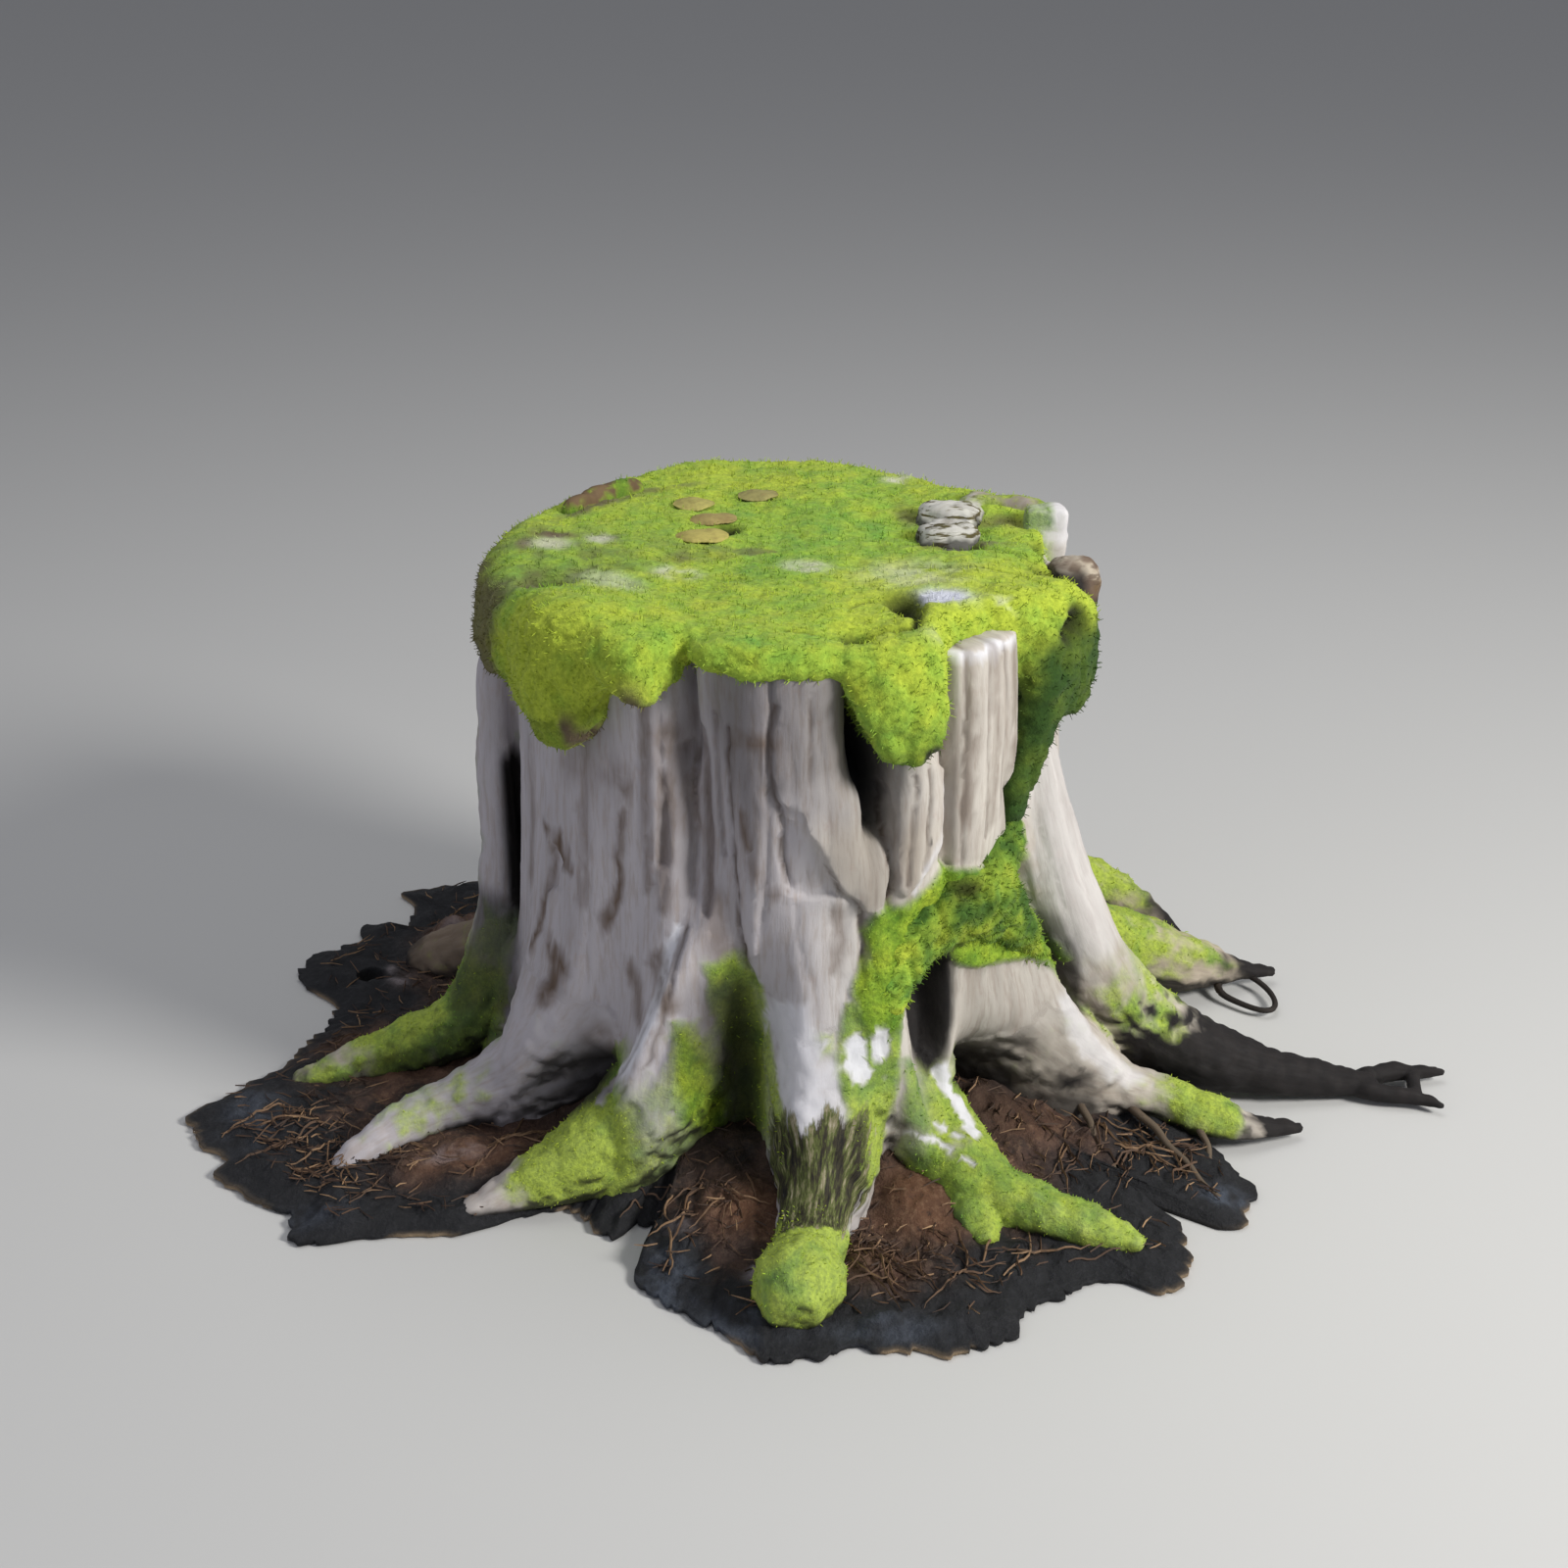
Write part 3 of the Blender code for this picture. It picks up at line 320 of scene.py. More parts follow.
# Painted shade on the wood, a little darker: under the cap's overhang, on the V flap and low on the
# right-hand roots: strength, softness, outline
SHADE_ON_WOOD = (
    (
        1.0, 0.02,
        (
            (-15.0, 0.54), (-15.0, 0.47), (-8.0, 0.38), (-3.0, 0.3), (0.0, 0.4), (12.0, 0.42),
            (14.0, 0.35), (22.0, 0.35), (24.0, 0.54),
        ),
    ),
    (
        0.72, 0.014,
        ((-2.0, 0.42), (4.0, 0.395), (14.0, 0.3), (21.0, 0.3), (20.0, 0.37), (12.0, 0.43)),
    ),
    (
        0.25, 0.02,
        (
            (-34.0, 0.54), (-26.0, 0.54), (-12.0, 0.54), (-10.0, 0.3), (-8.0, 0.22), (-22.0, 0.25),
            (-25.0, 0.4), (-30.0, 0.45),
        ),
    ),
    (0.42, 0.02, ((38.0, 0.235), (60.0, 0.235), (63.0, 0.12), (60.0, 0.06), (38.0, 0.06))),
    (0.55, 0.014, ((21.0, 0.15), (34.0, 0.14), (38.0, 0.06), (26.0, 0.04), (18.0, 0.06))),
    (0.15, 0.02, ((-62.0, 0.46), (-34.0, 0.44), (-34.0, 0.4), (-62.0, 0.41))),
)
# Moss that clings to the trunk: how thick, how dense, softness of the edge, outline
CLINGING_MOSS = (
    (
        0.005, 1.0, 0.006,
        (
            (17.0, 0.296), (24.8, 0.302), (27.7, 0.311), (32.0, 0.326), (37.7, 0.315),
            (44.9, 0.309), (55.9, 0.316), (55.9, 0.337), (57.5, 0.311), (58.1, 0.277),
            (61.6, 0.228), (65.0, 0.18), (62.0, 0.165), (58.1, 0.19), (50.2, 0.205), (39.9, 0.213),
            (34.4, 0.228), (30.8, 0.235), (24.0, 0.222), (22.0, 0.184), (16.5, 0.18), (13.0, 0.2),
            (12.9, 0.235), (16.1, 0.256), (15.0, 0.275),
        ),
    ),
    (
        0.0022, 0.9, 0.005,
        (
            (11.5, 0.215), (23.0, 0.215), (22.0, 0.184), (21.0, 0.141), (19.5, 0.113), (18.0, 0.07),
            (14.0, 0.05), (11.8, 0.062), (11.2, 0.091), (10.6, 0.127), (9.6, 0.15), (10.0, 0.18),
        ),
    ),
    (0.0012, 0.6, 0.006, ((4.8, 0.192), (10.0, 0.19), (9.0, 0.172), (5.5, 0.17))),
    (
        0.004, 1.0, 0.012,
        (
            (-20.5, 0.19), (-16.0, 0.19), (-13.0, 0.15), (-11.5, 0.08), (-12.0, 0.035),
            (-17.0, 0.035), (-18.5, 0.08), (-20.0, 0.13),
        ),
    ),
    (
        0.0015, 0.9, 0.01,
        (
            (-15.5, 0.24), (-9.0, 0.25), (-5.5, 0.225), (-2.5, 0.15), (-1.5, 0.08), (-6.0, 0.02),
            (-13.0, 0.02), (-11.5, 0.12), (-14.0, 0.17),
        ),
    ),
    (
        0.0015, 0.8, 0.004,
        (
            (-6.5, 0.225), (-4.0, 0.215), (-1.0, 0.145), (1.2, 0.1), (1.0, 0.07), (-1.5, 0.09),
            (-4.5, 0.15),
        ),
    ),
    (0.002, 0.8, 0.006, ((22.0, 0.16), (25.0, 0.15), (27.5, 0.1), (26.0, 0.08), (21.0, 0.1))),
    (0.0015, 0.6, 0.01, ((-81.0, 0.205), (-75.0, 0.19), (-73.0, 0.12), (-82.0, 0.1))),
    (
        0.001, 0.42, 0.012,
        ((-104.0, 0.46), (-84.0, 0.46), (-82.0, 0.34), (-82.0, 0.18), (-104.0, 0.18)),
    ),
    (0.0015, 0.5, 0.01, ((-22.5, 0.15), (-17.0, 0.15), (-17.0, 0.06), (-30.0, 0.05))),
)
# Dark places of the trunk, mostly painted shade in recesses, clefts, cavities under the roots and
# the gap behind the rib, some of them dark rotten streaks: strength, share of it that is streaks,
# the radius beyond which it stops, softness of the edge, outline
EARTH_AND_SHADE = (
    (
        0.84, 0.0, 0.31, 0.018,
        (
            (-17.5, 0.195), (-16.0, 0.222), (-10.5, 0.23), (-6.5, 0.205), (-5.0, 0.145),
            (-4.0, 0.065), (-5.0, 0.01), (-12.0, 0.01), (-14.0, 0.08), (-16.0, 0.13),
            (-17.5, 0.165),
        ),
    ),
    (
        1.0, 0.0, 0.29, 0.005,
        (
            (26.0, 0.24), (30.0, 0.25), (34.5, 0.245), (36.0, 0.215), (35.5, 0.165), (33.5, 0.132),
            (29.5, 0.12), (27.0, 0.145), (25.6, 0.19),
        ),
    ),
    (
        0.95, 0.0, 0.272, 0.012,
        (
            (33.0, 0.128), (44.0, 0.122), (52.0, 0.09), (60.0, 0.08), (64.0, 0.045), (64.0, 0.0),
            (34.0, 0.0), (35.0, 0.07),
        ),
    ),
    (
        0.85, 0.0, 0.34, 0.012,
        ((38.0, 0.066), (50.0, 0.07), (60.0, 0.058), (67.0, 0.04), (68.0, 0.0), (38.0, 0.0)),
    ),
    (1.0, 0.0, 0.42, 0.006, ((57.6, 0.078), (61.4, 0.08), (61.6, 0.062), (57.8, 0.06))),
    (
        0.9, 0.0, 0.3, 0.014,
        (
            (-47.0, 0.112), (-41.0, 0.135), (-34.5, 0.135), (-33.0, 0.085), (-42.0, 0.055),
            (-52.0, 0.055),
        ),
    ),
    (
        0.9, 0.0, 0.31, 0.008,
        ((62.0, 0.23), (66.0, 0.19), (70.0, 0.12), (75.0, 0.06), (69.0, 0.06), (65.5, 0.13)),
    ),
    (
        1.0, 1.0, 0.388, 0.018,
        (
            (-2.0, 0.098), (2.0, 0.12), (4.0, 0.11), (8.0, 0.132), (11.0, 0.116), (14.5, 0.122),
            (13.5, 0.048), (-2.5, 0.048),
        ),
    ),
    (
        1.0, 0.0, 0.27, 0.007,
        (
            (-88.0, 0.32), (-83.0, 0.355), (-79.0, 0.345), (-76.0, 0.3), (-74.5, 0.24),
            (-73.5, 0.2), (-80.0, 0.19), (-86.0, 0.24),
        ),
    ),
    (
        0.9, 0.2, 0.33, 0.012,
        ((-84.0, 0.215), (-73.0, 0.215), (-70.5, 0.15), (-68.0, 0.095), (-84.0, 0.085)),
    ),
)
# White lichen and bleached places: strength, half width, points as angle, height
BLEACHED = (
    (1.0, 0.0095, ((13.2, 0.176), (13.8, 0.15))), (0.9, 0.006, ((17.6, 0.188), (17.3, 0.165))),
    (0.9, 0.007, ((32.0, 0.122), (32.8, 0.106))), (0.9, 0.007, ((34.1, 0.095), (33.7, 0.083))),
    (0.7, 0.019, ((1.8, 0.19), (3.0, 0.16), (4.2, 0.128))),
    (0.7, 0.0022, ((22.6, 0.088), (26.5, 0.078), (29.5, 0.068))),
    (0.7, 0.0018, ((27.5, 0.09), (31.0, 0.078))), (0.5, 0.008, ((8.5, 0.16), (8.5, 0.12))),
    (0.9, 0.005, ((-20.7, 0.272), (-22.0, 0.234), (-23.6, 0.192), (-26.6, 0.155), (-34.0, 0.103))),
    (0.45, 0.009, ((60.5, 0.15), (62.1, 0.103), (66.8, 0.066))),
    (0.5, 0.0025, ((31.6, 0.402), (32.2, 0.36), (28.0, 0.338), (25.1, 0.306))),
    (0.8, 0.0045, ((33.5, 0.514), (38.0, 0.51), (44.0, 0.514), (51.0, 0.507))),
    (0.28, 0.024, ((63.0, 0.4), (65.0, 0.3), (67.0, 0.2))),
)
# Moss along each root, from its start to its tip: share of the length, how dense
ROOT_MOSS = {
    "rib_and_far_left": ((0, 0.34), (0.4, 0.4), (0.52, 0.6), (0.62, 0.8), (0.85, 0.65), (1, 0.3)),
    "left": ((0, 0.0), (0.3, 0.15), (0.6, 0.34), (0.85, 0.2), (1, 0.0)),
    "front_left": (
        (0, 0.6), (0.12, 0.8), (0.22, 0.9), (0.5, 0.95), (0.72, 0.85), (0.84, 0.15), (1, 0.0),
    ),
    "front": ((0, 0.0), (0.56, 0.1), (0.63, 0.55), (0.7, 1.1), (1, 1.1)),
    "front_right": (
        (0, 0.85), (0.16, 0.85), (0.32, 0.72), (0.46, 0.68), (0.58, 1.05), (0.95, 1.05), (1, 0.8),
    ),
    "front_right_stub": ((0, 0.7), (0.5, 1.0), (1, 1.0)),
    "right": (
        (0, 0.0), (0.4, 0.05), (0.56, 0.25), (0.68, 0.75), (0.78, 0.95), (0.86, 0.0), (1, 0.0),
    ),
    "far_right": (
        (0, 0.0), (0.3, 0.1), (0.42, 0.42), (0.56, 0.5), (0.68, 0.25), (0.78, 0.0), (1, 0.0),
    ),
    "back_right": ((0, 0.6), (0.35, 0.85), (0.52, 0.75), (0.7, 0.35), (1, 0.0)),
    "back_right_far": ((0, 0.6), (0.4, 0.85), (0.66, 0.75), (0.84, 0.3), (1, 0.0)),
    "back_one": ((0, 0.3), (0.5, 0.6), (1, 0.4)), "back_two": ((0, 0.2), (0.5, 0.5), (1, 0.4)),
    "back_left": ((0, 0.3), (0.5, 0.6), (1, 0.4)), "left_behind": ((0, 0.1), (0.5, 0.15), (1, 0.1)),
}
# Where each root turns to dark, rotten wood: share of its length at the start and the end of the
# change
ROOT_DARK = {
    "rib_and_far_left": (0.93, 1.05), "right": (0.8, 0.86), "far_right_upper_prong": (-1, -0.5),
    "far_right_lower_prong": (-1, -0.5), "prong_bridge": (-1, -0.5), "back_right": (0.78, 0.9),
    "back_right_far": (0.8, 0.95), "back_one": (0.9, 1.0), "back_two": (0.9, 1.0),
    "back_left": (0.9, 1.0), "left_behind": (0.9, 1.0),
}
# Lean tan roots, more buff than the trunk: share of buff
ROOT_BUFF = {
    "back_right": 0.9, "back_right_far": 0.9, "far_right": 0.6, "front_left": 0.35,
    "front_right": 0.3, "rib_and_far_left": 0.6, "right": 0.5,
}

# The moss cap, as in the part: angle, height of the lowest edge, how far out the moss stands
CAP_TOP = 0.538
CAP_EDGE_ROUNDING = 0.034
CAP_HEM = (
    (-180, 0.5, 0.29), (-160, 0.497, 0.288), (-146, 0.5, 0.278), (-132, 0.505, 0.262),
    (-115, 0.5, 0.26), (-101, 0.488, 0.264), (-92, 0.478, 0.27), (-84, 0.465, 0.275),
    (-76, 0.455, 0.278), (-66, 0.455, 0.278), (-60, 0.458, 0.278), (-56, 0.455, 0.28),
    (-52, 0.446, 0.286), (-49.5, 0.44, 0.29), (-47, 0.43, 0.291), (-44, 0.426, 0.29),
    (-40.5, 0.428, 0.288), (-38, 0.438, 0.286), (-36.3, 0.458, 0.285), (-34.8, 0.48, 0.285),
    (-33, 0.49, 0.286), (-29.5, 0.494, 0.288), (-26.5, 0.49, 0.289), (-24, 0.483, 0.288),
    (-22.5, 0.485, 0.282), (-21.4, 0.5, 0.256), (-20.4, 0.512, 0.234), (-19, 0.516, 0.232),
    (-17.6, 0.518, 0.244), (-16, 0.518, 0.256), (-13, 0.516, 0.262), (-8, 0.511, 0.264),
    (-2, 0.508, 0.266), (4, 0.508, 0.266), (9, 0.509, 0.266), (11.5, 0.506, 0.268),
    (13, 0.484, 0.276), (15.2, 0.463, 0.284), (17.5, 0.443, 0.289), (19.5, 0.436, 0.29),
    (22, 0.434, 0.29), (26, 0.434, 0.29), (28, 0.442, 0.288), (29.4, 0.466, 0.282),
    (30.5, 0.49, 0.266), (32, 0.503, 0.25), (36, 0.508, 0.24), (42, 0.508, 0.237),
    (48, 0.504, 0.24), (52, 0.492, 0.252), (55, 0.455, 0.268), (60, 0.422, 0.282),
    (66, 0.418, 0.29), (72, 0.424, 0.292), (78, 0.436, 0.284), (82, 0.468, 0.258),
    (86, 0.498, 0.242), (92, 0.51, 0.238), (98, 0.512, 0.244), (112, 0.51, 0.262),
    (126, 0.504, 0.258), (138, 0.5, 0.25), (150, 0.5, 0.272), (165, 0.5, 0.285), (180, 0.5, 0.29),
)
CAP_STRIP = (
    (60, 0.262, 0.47, 0.026), (59.5, 0.264, 0.43, 0.022), (57, 0.262, 0.398, 0.017),
    (53.5, 0.26, 0.368, 0.012), (51.5, 0.258, 0.34, 0.007),
)
CAP_SWELLINGS = (
    (-0.175, -0.175, 0.06, 0.014), (0.12, -0.215, 0.04, 0.006), (0.2, -0.13, 0.06, 0.008),
    (-0.2, 0.03, 0.05, 0.004), (0.205, 0.11, 0.05, 0.01), (0.0, 0.05, 0.09, -0.006),
    (-0.21, -0.09, 0.025, -0.01), (-0.08, -0.232, 0.018, -0.012), (0.062, -0.215, 0.018, -0.008),
    (0.158, 0.06, 0.05, -0.008), (0.262, -0.05, 0.034, -0.02), (0.03, 0.12, 0.08, 0.004),
)
# Pits of the cap: x, y, z, radius, depth
CAP_PITS = (
    (0.104, -0.142, 0.541, 0.014, 0.022), (0.108, -0.16, 0.541, 0.012, 0.02),
    (0.111, -0.178, 0.541, 0.009, 0.014), (0.262, -0.122, 0.512, 0.012, 0.016),
    (0.252, -0.134, 0.506, 0.01, 0.012), (0.268, -0.056, 0.52, 0.013, 0.014),
    (0.165, 0.006, 0.539, 0.014, 0.014), (0.244, 0.01, 0.536, 0.012, 0.012),
    (-0.049, 0.058, 0.535, 0.009, 0.009), (0.128, -0.262, 0.443, 0.008, 0.006),
    (0.062, -0.222, 0.534, 0.01, 0.01),
)
# Creases of the cap: width, depth, points as x, y
CAP_CREASES = (
    (
        0.004, 0.009,
        ((0.06, -0.232), (0.072, -0.218), (0.092, -0.214), (0.112, -0.212), (0.116, -0.19)),
    ),
    (0.0025, 0.004, ((0.06, -0.16), (0.074, -0.14), (0.09, -0.146), (0.1, -0.158))),
    (0.0022, 0.003, ((0.0, -0.215), (0.022, -0.222), (0.048, -0.232))),
    (0.003, 0.003, ((-0.218, -0.078), (-0.19, -0.085), (-0.15, -0.1), (-0.12, -0.112))),
    (0.0022, 0.002, ((-0.17, -0.06), (-0.12, -0.07), (-0.06, -0.084), (0.02, -0.09))),
    (0.003, 0.003, ((0.105, -0.05), (0.14, -0.058), (0.18, -0.07), (0.23, -0.08))),
    (0.0026, 0.003, ((0.11, 0.02), (0.15, 0.01), (0.2, -0.01), (0.23, -0.03))),
)
# Pale places of the cap where the moss is worn off or dusted: x, y, half sizes, turn, strength
CAP_PALE = (
    (-0.092, -0.072, 0.02, 0.014, -10, 1.0), (0.024, -0.052, 0.022, 0.016, -25, 1.0),
    (0.114, 0.212, 0.012, 0.02, -20, 1.0), (0.189, -0.15, 0.012, 0.008, 0, 0.6),
    (-0.15, -0.1, 0.036, 0.022, -40, 0.55), (-0.166, 0.018, 0.012, 0.014, 0, 0.8),
    (0.12, -0.075, 0.05, 0.034, -15, 0.5), (0.15, -0.225, 0.03, 0.014, 8, 0.4),
)
# The bluish patch beside the pit
CAP_BARE = ((0.136, -0.143, 0.026, 0.019, -6, 1.0),)
# Brown, barky places of the cap's top
CAP_BROWN = (
    (-0.172, 0.128, 0.06, 0.011, 49, 0.9), (-0.12, 0.18, 0.04, 0.009, 15, 0.7),
    (-0.208, 0.024, 0.024, 0.012, -4, 1.0), (-0.234, 0.0, 0.01, 0.018, 0, 0.9),
    (0.165, 0.01, 0.04, 0.01, 5, 0.9), (0.205, 0.07, 0.03, 0.012, -14, 0.7),
    (0.24, -0.05, 0.016, 0.012, 0, 0.5), (0.12, 0.1, 0.012, 0.03, 10, 0.7),
)
# The grey knot at the left
CAP_KNOT = ((-0.210, 0.002, 0.019, 0.014, -4, 1.0),)
# Moss in the crook of the right-hand roots: angle, radius, height and girth
CROOK_PATHS = (
    (
        (52.5, 0.254, 0.338, 0.01), (49, 0.25, 0.312, 0.024), (43, 0.25, 0.284, 0.034),
        (34, 0.252, 0.272, 0.032), (27, 0.256, 0.262, 0.025), (22.5, 0.262, 0.236, 0.019),
        (20, 0.27, 0.205, 0.014), (18.5, 0.276, 0.178, 0.009),
    ),
    (
        (43, 0.254, 0.275, 0.032), (50, 0.258, 0.25, 0.028), (56, 0.268, 0.215, 0.018),
        (60, 0.276, 0.188, 0.01),
    ),
)
# The litter mat: its outline as x, y, and its heights
MAT_EDGE = 0.006
MAT_TOP = 0.012
MOUND_HEIGHT = 0.040
MOUND_RADIUS = 0.245
MOUND_FALL = 0.055
MAT_OUTLINE = (
    (-0.013, -0.492), (0.027, -0.486), (0.108, -0.48), (0.14, -0.484), (0.198, -0.458),
    (0.215, -0.426), (0.255, -0.384), (0.297, -0.379), (0.328, -0.402), (0.361, -0.358),
    (0.352, -0.29), (0.328, -0.256), (0.35, -0.25), (0.381, -0.275), (0.39, -0.301),
    (0.425, -0.301), (0.412, -0.275), (0.436, -0.235), (0.414, -0.205), (0.404, -0.15),
    (0.385, -0.105), (0.37, -0.04), (0.345, 0.05), (0.33, 0.13), (0.345, 0.215), (0.3, 0.33),
    (0.215, 0.38), (0.17, 0.44), (0.09, 0.43), (0.03, 0.47), (-0.06, 0.485), (-0.13, 0.44),
    (-0.21, 0.45), (-0.28, 0.4), (-0.339, 0.395), (-0.398, 0.377), (-0.428, 0.36), (-0.408, 0.328),
    (-0.416, 0.28), (-0.4, 0.25), (-0.43, 0.256), (-0.466, 0.292), (-0.455, 0.245), (-0.503, 0.211),
    (-0.514, 0.174), (-0.49, 0.135), (-0.457, 0.093), (-0.465, 0.052), (-0.491, -0.026),
    (-0.539, -0.072), (-0.566, -0.117), (-0.544, -0.161), (-0.514, -0.194), (-0.52, -0.219),
    (-0.475, -0.254), (-0.449, -0.28), (-0.427, -0.328), (-0.344, -0.309), (-0.283, -0.308),
    (-0.242, -0.287), (-0.209, -0.268), (-0.182, -0.272), (-0.152, -0.331), (-0.13, -0.292),
    (-0.112, -0.304), (-0.128, -0.372), (-0.096, -0.415), (-0.05, -0.449),
)
# Mounds of the litter: x, y, spread, height
LITTER_MOUNDS = (
    (0.118, -0.3, 0.034, 0.022), (-0.3, -0.222, 0.036, 0.013), (-0.034, -0.312, 0.034, 0.013),
    (0.092, -0.25, 0.026, 0.016), (-0.24, -0.215, 0.022, 0.01), (-0.345, 0.215, 0.034, 0.03),
    (0.213, -0.18, 0.05, 0.014), (-0.014, -0.392, 0.012, 0.006), (0.07, -0.385, 0.025, 0.006),
)
# Coloured places of the litter: x, y, half sizes, turn, strength
STONES = (
    (-0.014, -0.392, 0.016, 0.012, 20, 0.9), (-0.3, -0.222, 0.03, 0.012, 10, 0.5),
    (-0.09, -0.33, 0.012, 0.01, 0, 0.5), (-0.335, 0.205, 0.03, 0.02, 0, 0.5),
    (-0.402, 0.14, 0.01, 0.024, 20, 0.9),
)
BLUISH_PLACES = (
    (-0.1, -0.395, 0.03, 0.04, 30, 0.7), (-0.03, -0.45, 0.04, 0.02, -20, 0.5),
    (0.09, -0.46, 0.05, 0.016, 0, 0.35), (0.4, -0.262, 0.02, 0.016, 0, 0.8),
    (-0.5, -0.13, 0.03, 0.05, 0, 0.4), (-0.42, -0.29, 0.04, 0.02, 0, 0.35),
)
RUDDY_PLACES = (
    (0.125, -0.31, 0.05, 0.05, 0, 1.0), (-0.02, -0.32, 0.04, 0.04, 0, 0.9),
    (-0.29, -0.225, 0.07, 0.03, 10, 0.8), (-0.19, -0.157, 0.06, 0.02, 30, 0.8),
    (0.09, -0.385, 0.05, 0.035, 0, 0.7), (0.2, -0.18, 0.06, 0.03, 0, 0.8),
    (-0.385, -0.06, 0.07, 0.02, 10, 0.6), (-0.34, 0.22, 0.05, 0.035, 0, 0.8),
    (-0.42, 0.01, 0.06, 0.03, 20, 0.6),
)
# Heaps of needles: x, y, spread, number
NEEDLE_HEAPS = (
    (-0.46, -0.14, 0.03, 200), (-0.42, -0.21, 0.03, 140), (-0.36, -0.24, 0.03, 100),
    (-0.06, -0.3, 0.025, 80), (0.1, -0.38, 0.025, 100), (0.06, -0.35, 0.02, 60),
    (-0.44, 0.06, 0.04, 80), (-0.44, 0.25, 0.04, 80), (0.35, -0.2, 0.03, 80),
)
# Tangles of rootlet fibres: x, y, spread, number, heading
FIBRE_TANGLES = (
    (-0.455, -0.15, 0.022, 34, 200), (-0.4, -0.23, 0.025, 22, 150), (-0.34, -0.19, 0.02, 12, 190),
    (-0.15, -0.3, 0.03, 30, 175), (-0.07, -0.3, 0.022, 22, 250), (0.08, -0.37, 0.016, 26, 290),
    (0.14, -0.38, 0.024, 26, 350), (0.055, -0.34, 0.012, 14, 265), (0.33, -0.19, 0.022, 34, 300),
    (0.29, -0.18, 0.02, 20, 280), (-0.45, 0.23, 0.03, 16, 120), (-0.43, 0.02, 0.03, 18, 170),
    (0.2, -0.36, 0.02, 14, 20), (-0.21, -0.19, 0.02, 12, 200),
)
RING_HOLE = (-0.430, 0.148, 0.016)
# Fallen leaves: x, y, half length, half width, turn
LEAVES = (
    (-0.083, 0.122, 0.02, 0.019, 8), (-0.022, 0.154, 0.02, 0.017, 22),
    (-0.064, 0.081, 0.023, 0.018, 12), (-0.073, 0.036, 0.025, 0.021, 4),
)
LEAF_THICKNESS = 0.0009
LEAF_LIFT = 0.003


def angle_gap(degrees, centre):
    """Signed difference of two angles, from -180 to 180."""
    return (degrees - centre + 180.0) % 360.0 - 180.0


def hump(value, half_width, sharpness=3):
    """exp(-|value / half width| ** sharpness): a bell that is 1 in the middle."""
    return np.exp(-(np.abs(value / half_width) ** sharpness))


def ease(value, low, high):
    """Smooth step from 0 at low to 1 at high: 3 t^2 - 2 t^3."""
    share = np.clip((value - low) / (high - low), 0.0, 1.0)
    return share * share * (3 - 2 * share)


def angle_of(points):
    """Angle round the trunk in degrees, from -180 to 180 and 0 at the front."""
    return np.degrees(np.arctan2(points[:, 0], -points[:, 1]))


def polar_point(degrees, radius, z):
    angle = np.radians(degrees)
    return np.stack([radius * np.sin(angle), -radius * np.cos(angle), z + 0 * angle], axis=-1)


def trunk_radius(degrees, z):
    """A near circle, plus a bell for each buttress that fades with height, less local relief."""
    radius = TRUNK_RADIUS + 0.004 * np.sin(np.radians(2 * degrees + 40))
    radius = radius + 0.003 * np.sin(np.radians(5 * degrees)) + 0.010 * np.exp(-z / 0.10)
    for foot, high, reach, half_width in BUTTRESSES:
        centre = high + (foot - high) * np.exp(-z / 0.12)
        rise = reach * np.tanh(0.30 / reach * np.exp(-z / FLARE_HEIGHT))
        radius = radius + rise * hump(angle_gap(degrees, centre), half_width + 22 * z)
    for centre, half_width, middle, half_height, depth, lean in RELIEF:
        shape = hump(angle_gap(degrees, centre + lean * (z - middle)), half_width)
        radius = radius - depth * shape * hump(z - middle, half_height, 4)
    return radius


# Noise


def lattice_number(ix, iy, iz, seed):
    """A fixed random number from 0 to 1 for each lattice point, by integer products and shifts."""
    mixed = ix.astype(np.uint32) * np.uint32(374761393)
    mixed = mixed + iy.astype(np.uint32) * np.uint32(668265263)
    mixed = mixed + iz.astype(np.uint32) * np.uint32(2246822519)
    mixed = mixed + np.uint32((seed * 3266489917 + 12345) % 4294967296)
    mixed = (mixed ^ (mixed >> np.uint32(13))) * np.uint32(1274126177)
    mixed = (mixed ^ (mixed >> np.uint32(15))) * np.uint32(2654435761)
    return (mixed ^ (mixed >> np.uint32(16))).astype(np.float64) / 4294967295.0


def cloud(points, size, seed=0):
    """Value noise from -1 to 1: random corners of a lattice of that size, smoothly blended."""
    place = np.asarray(points) / size
    cell = np.floor(place).astype(np.int64)
    part = place - cell
    part = part * part * (3 - 2 * part)
    total = np.zeros(len(place))
    for dx in (0, 1):
        wx = part[:, 0] if dx else 1 - part[:, 0]
        for dy in (0, 1):
            wy = part[:, 1] if dy else 1 - part[:, 1]
            for dz in (0, 1):
                wz = part[:, 2] if dz else 1 - part[:, 2]
                corner = lattice_number(cell[:, 0] + dx, cell[:, 1] + dy, cell[:, 2] + dz, seed)
                total += wx * wy * wz * corner
    return 2 * total - 1


def clouds(points, size, seed=0, layers=3):
    """Several layers of noise, each half the size and a little over half the height."""
    total = 0
    height = 1.0
    for layer in range(layers):
        total = total + height * cloud(points, size / 2**layer, seed + 17 * layer)
        height *= 0.55
    return total


def creases(points, size, seed=0, width=0.22):
    """Narrow lines where the noise crosses zero: 1 on the line, 0 away from it."""
    return np.maximum(0.0, 1 - np.abs(cloud(points, size, seed)) / width) ** 1.5


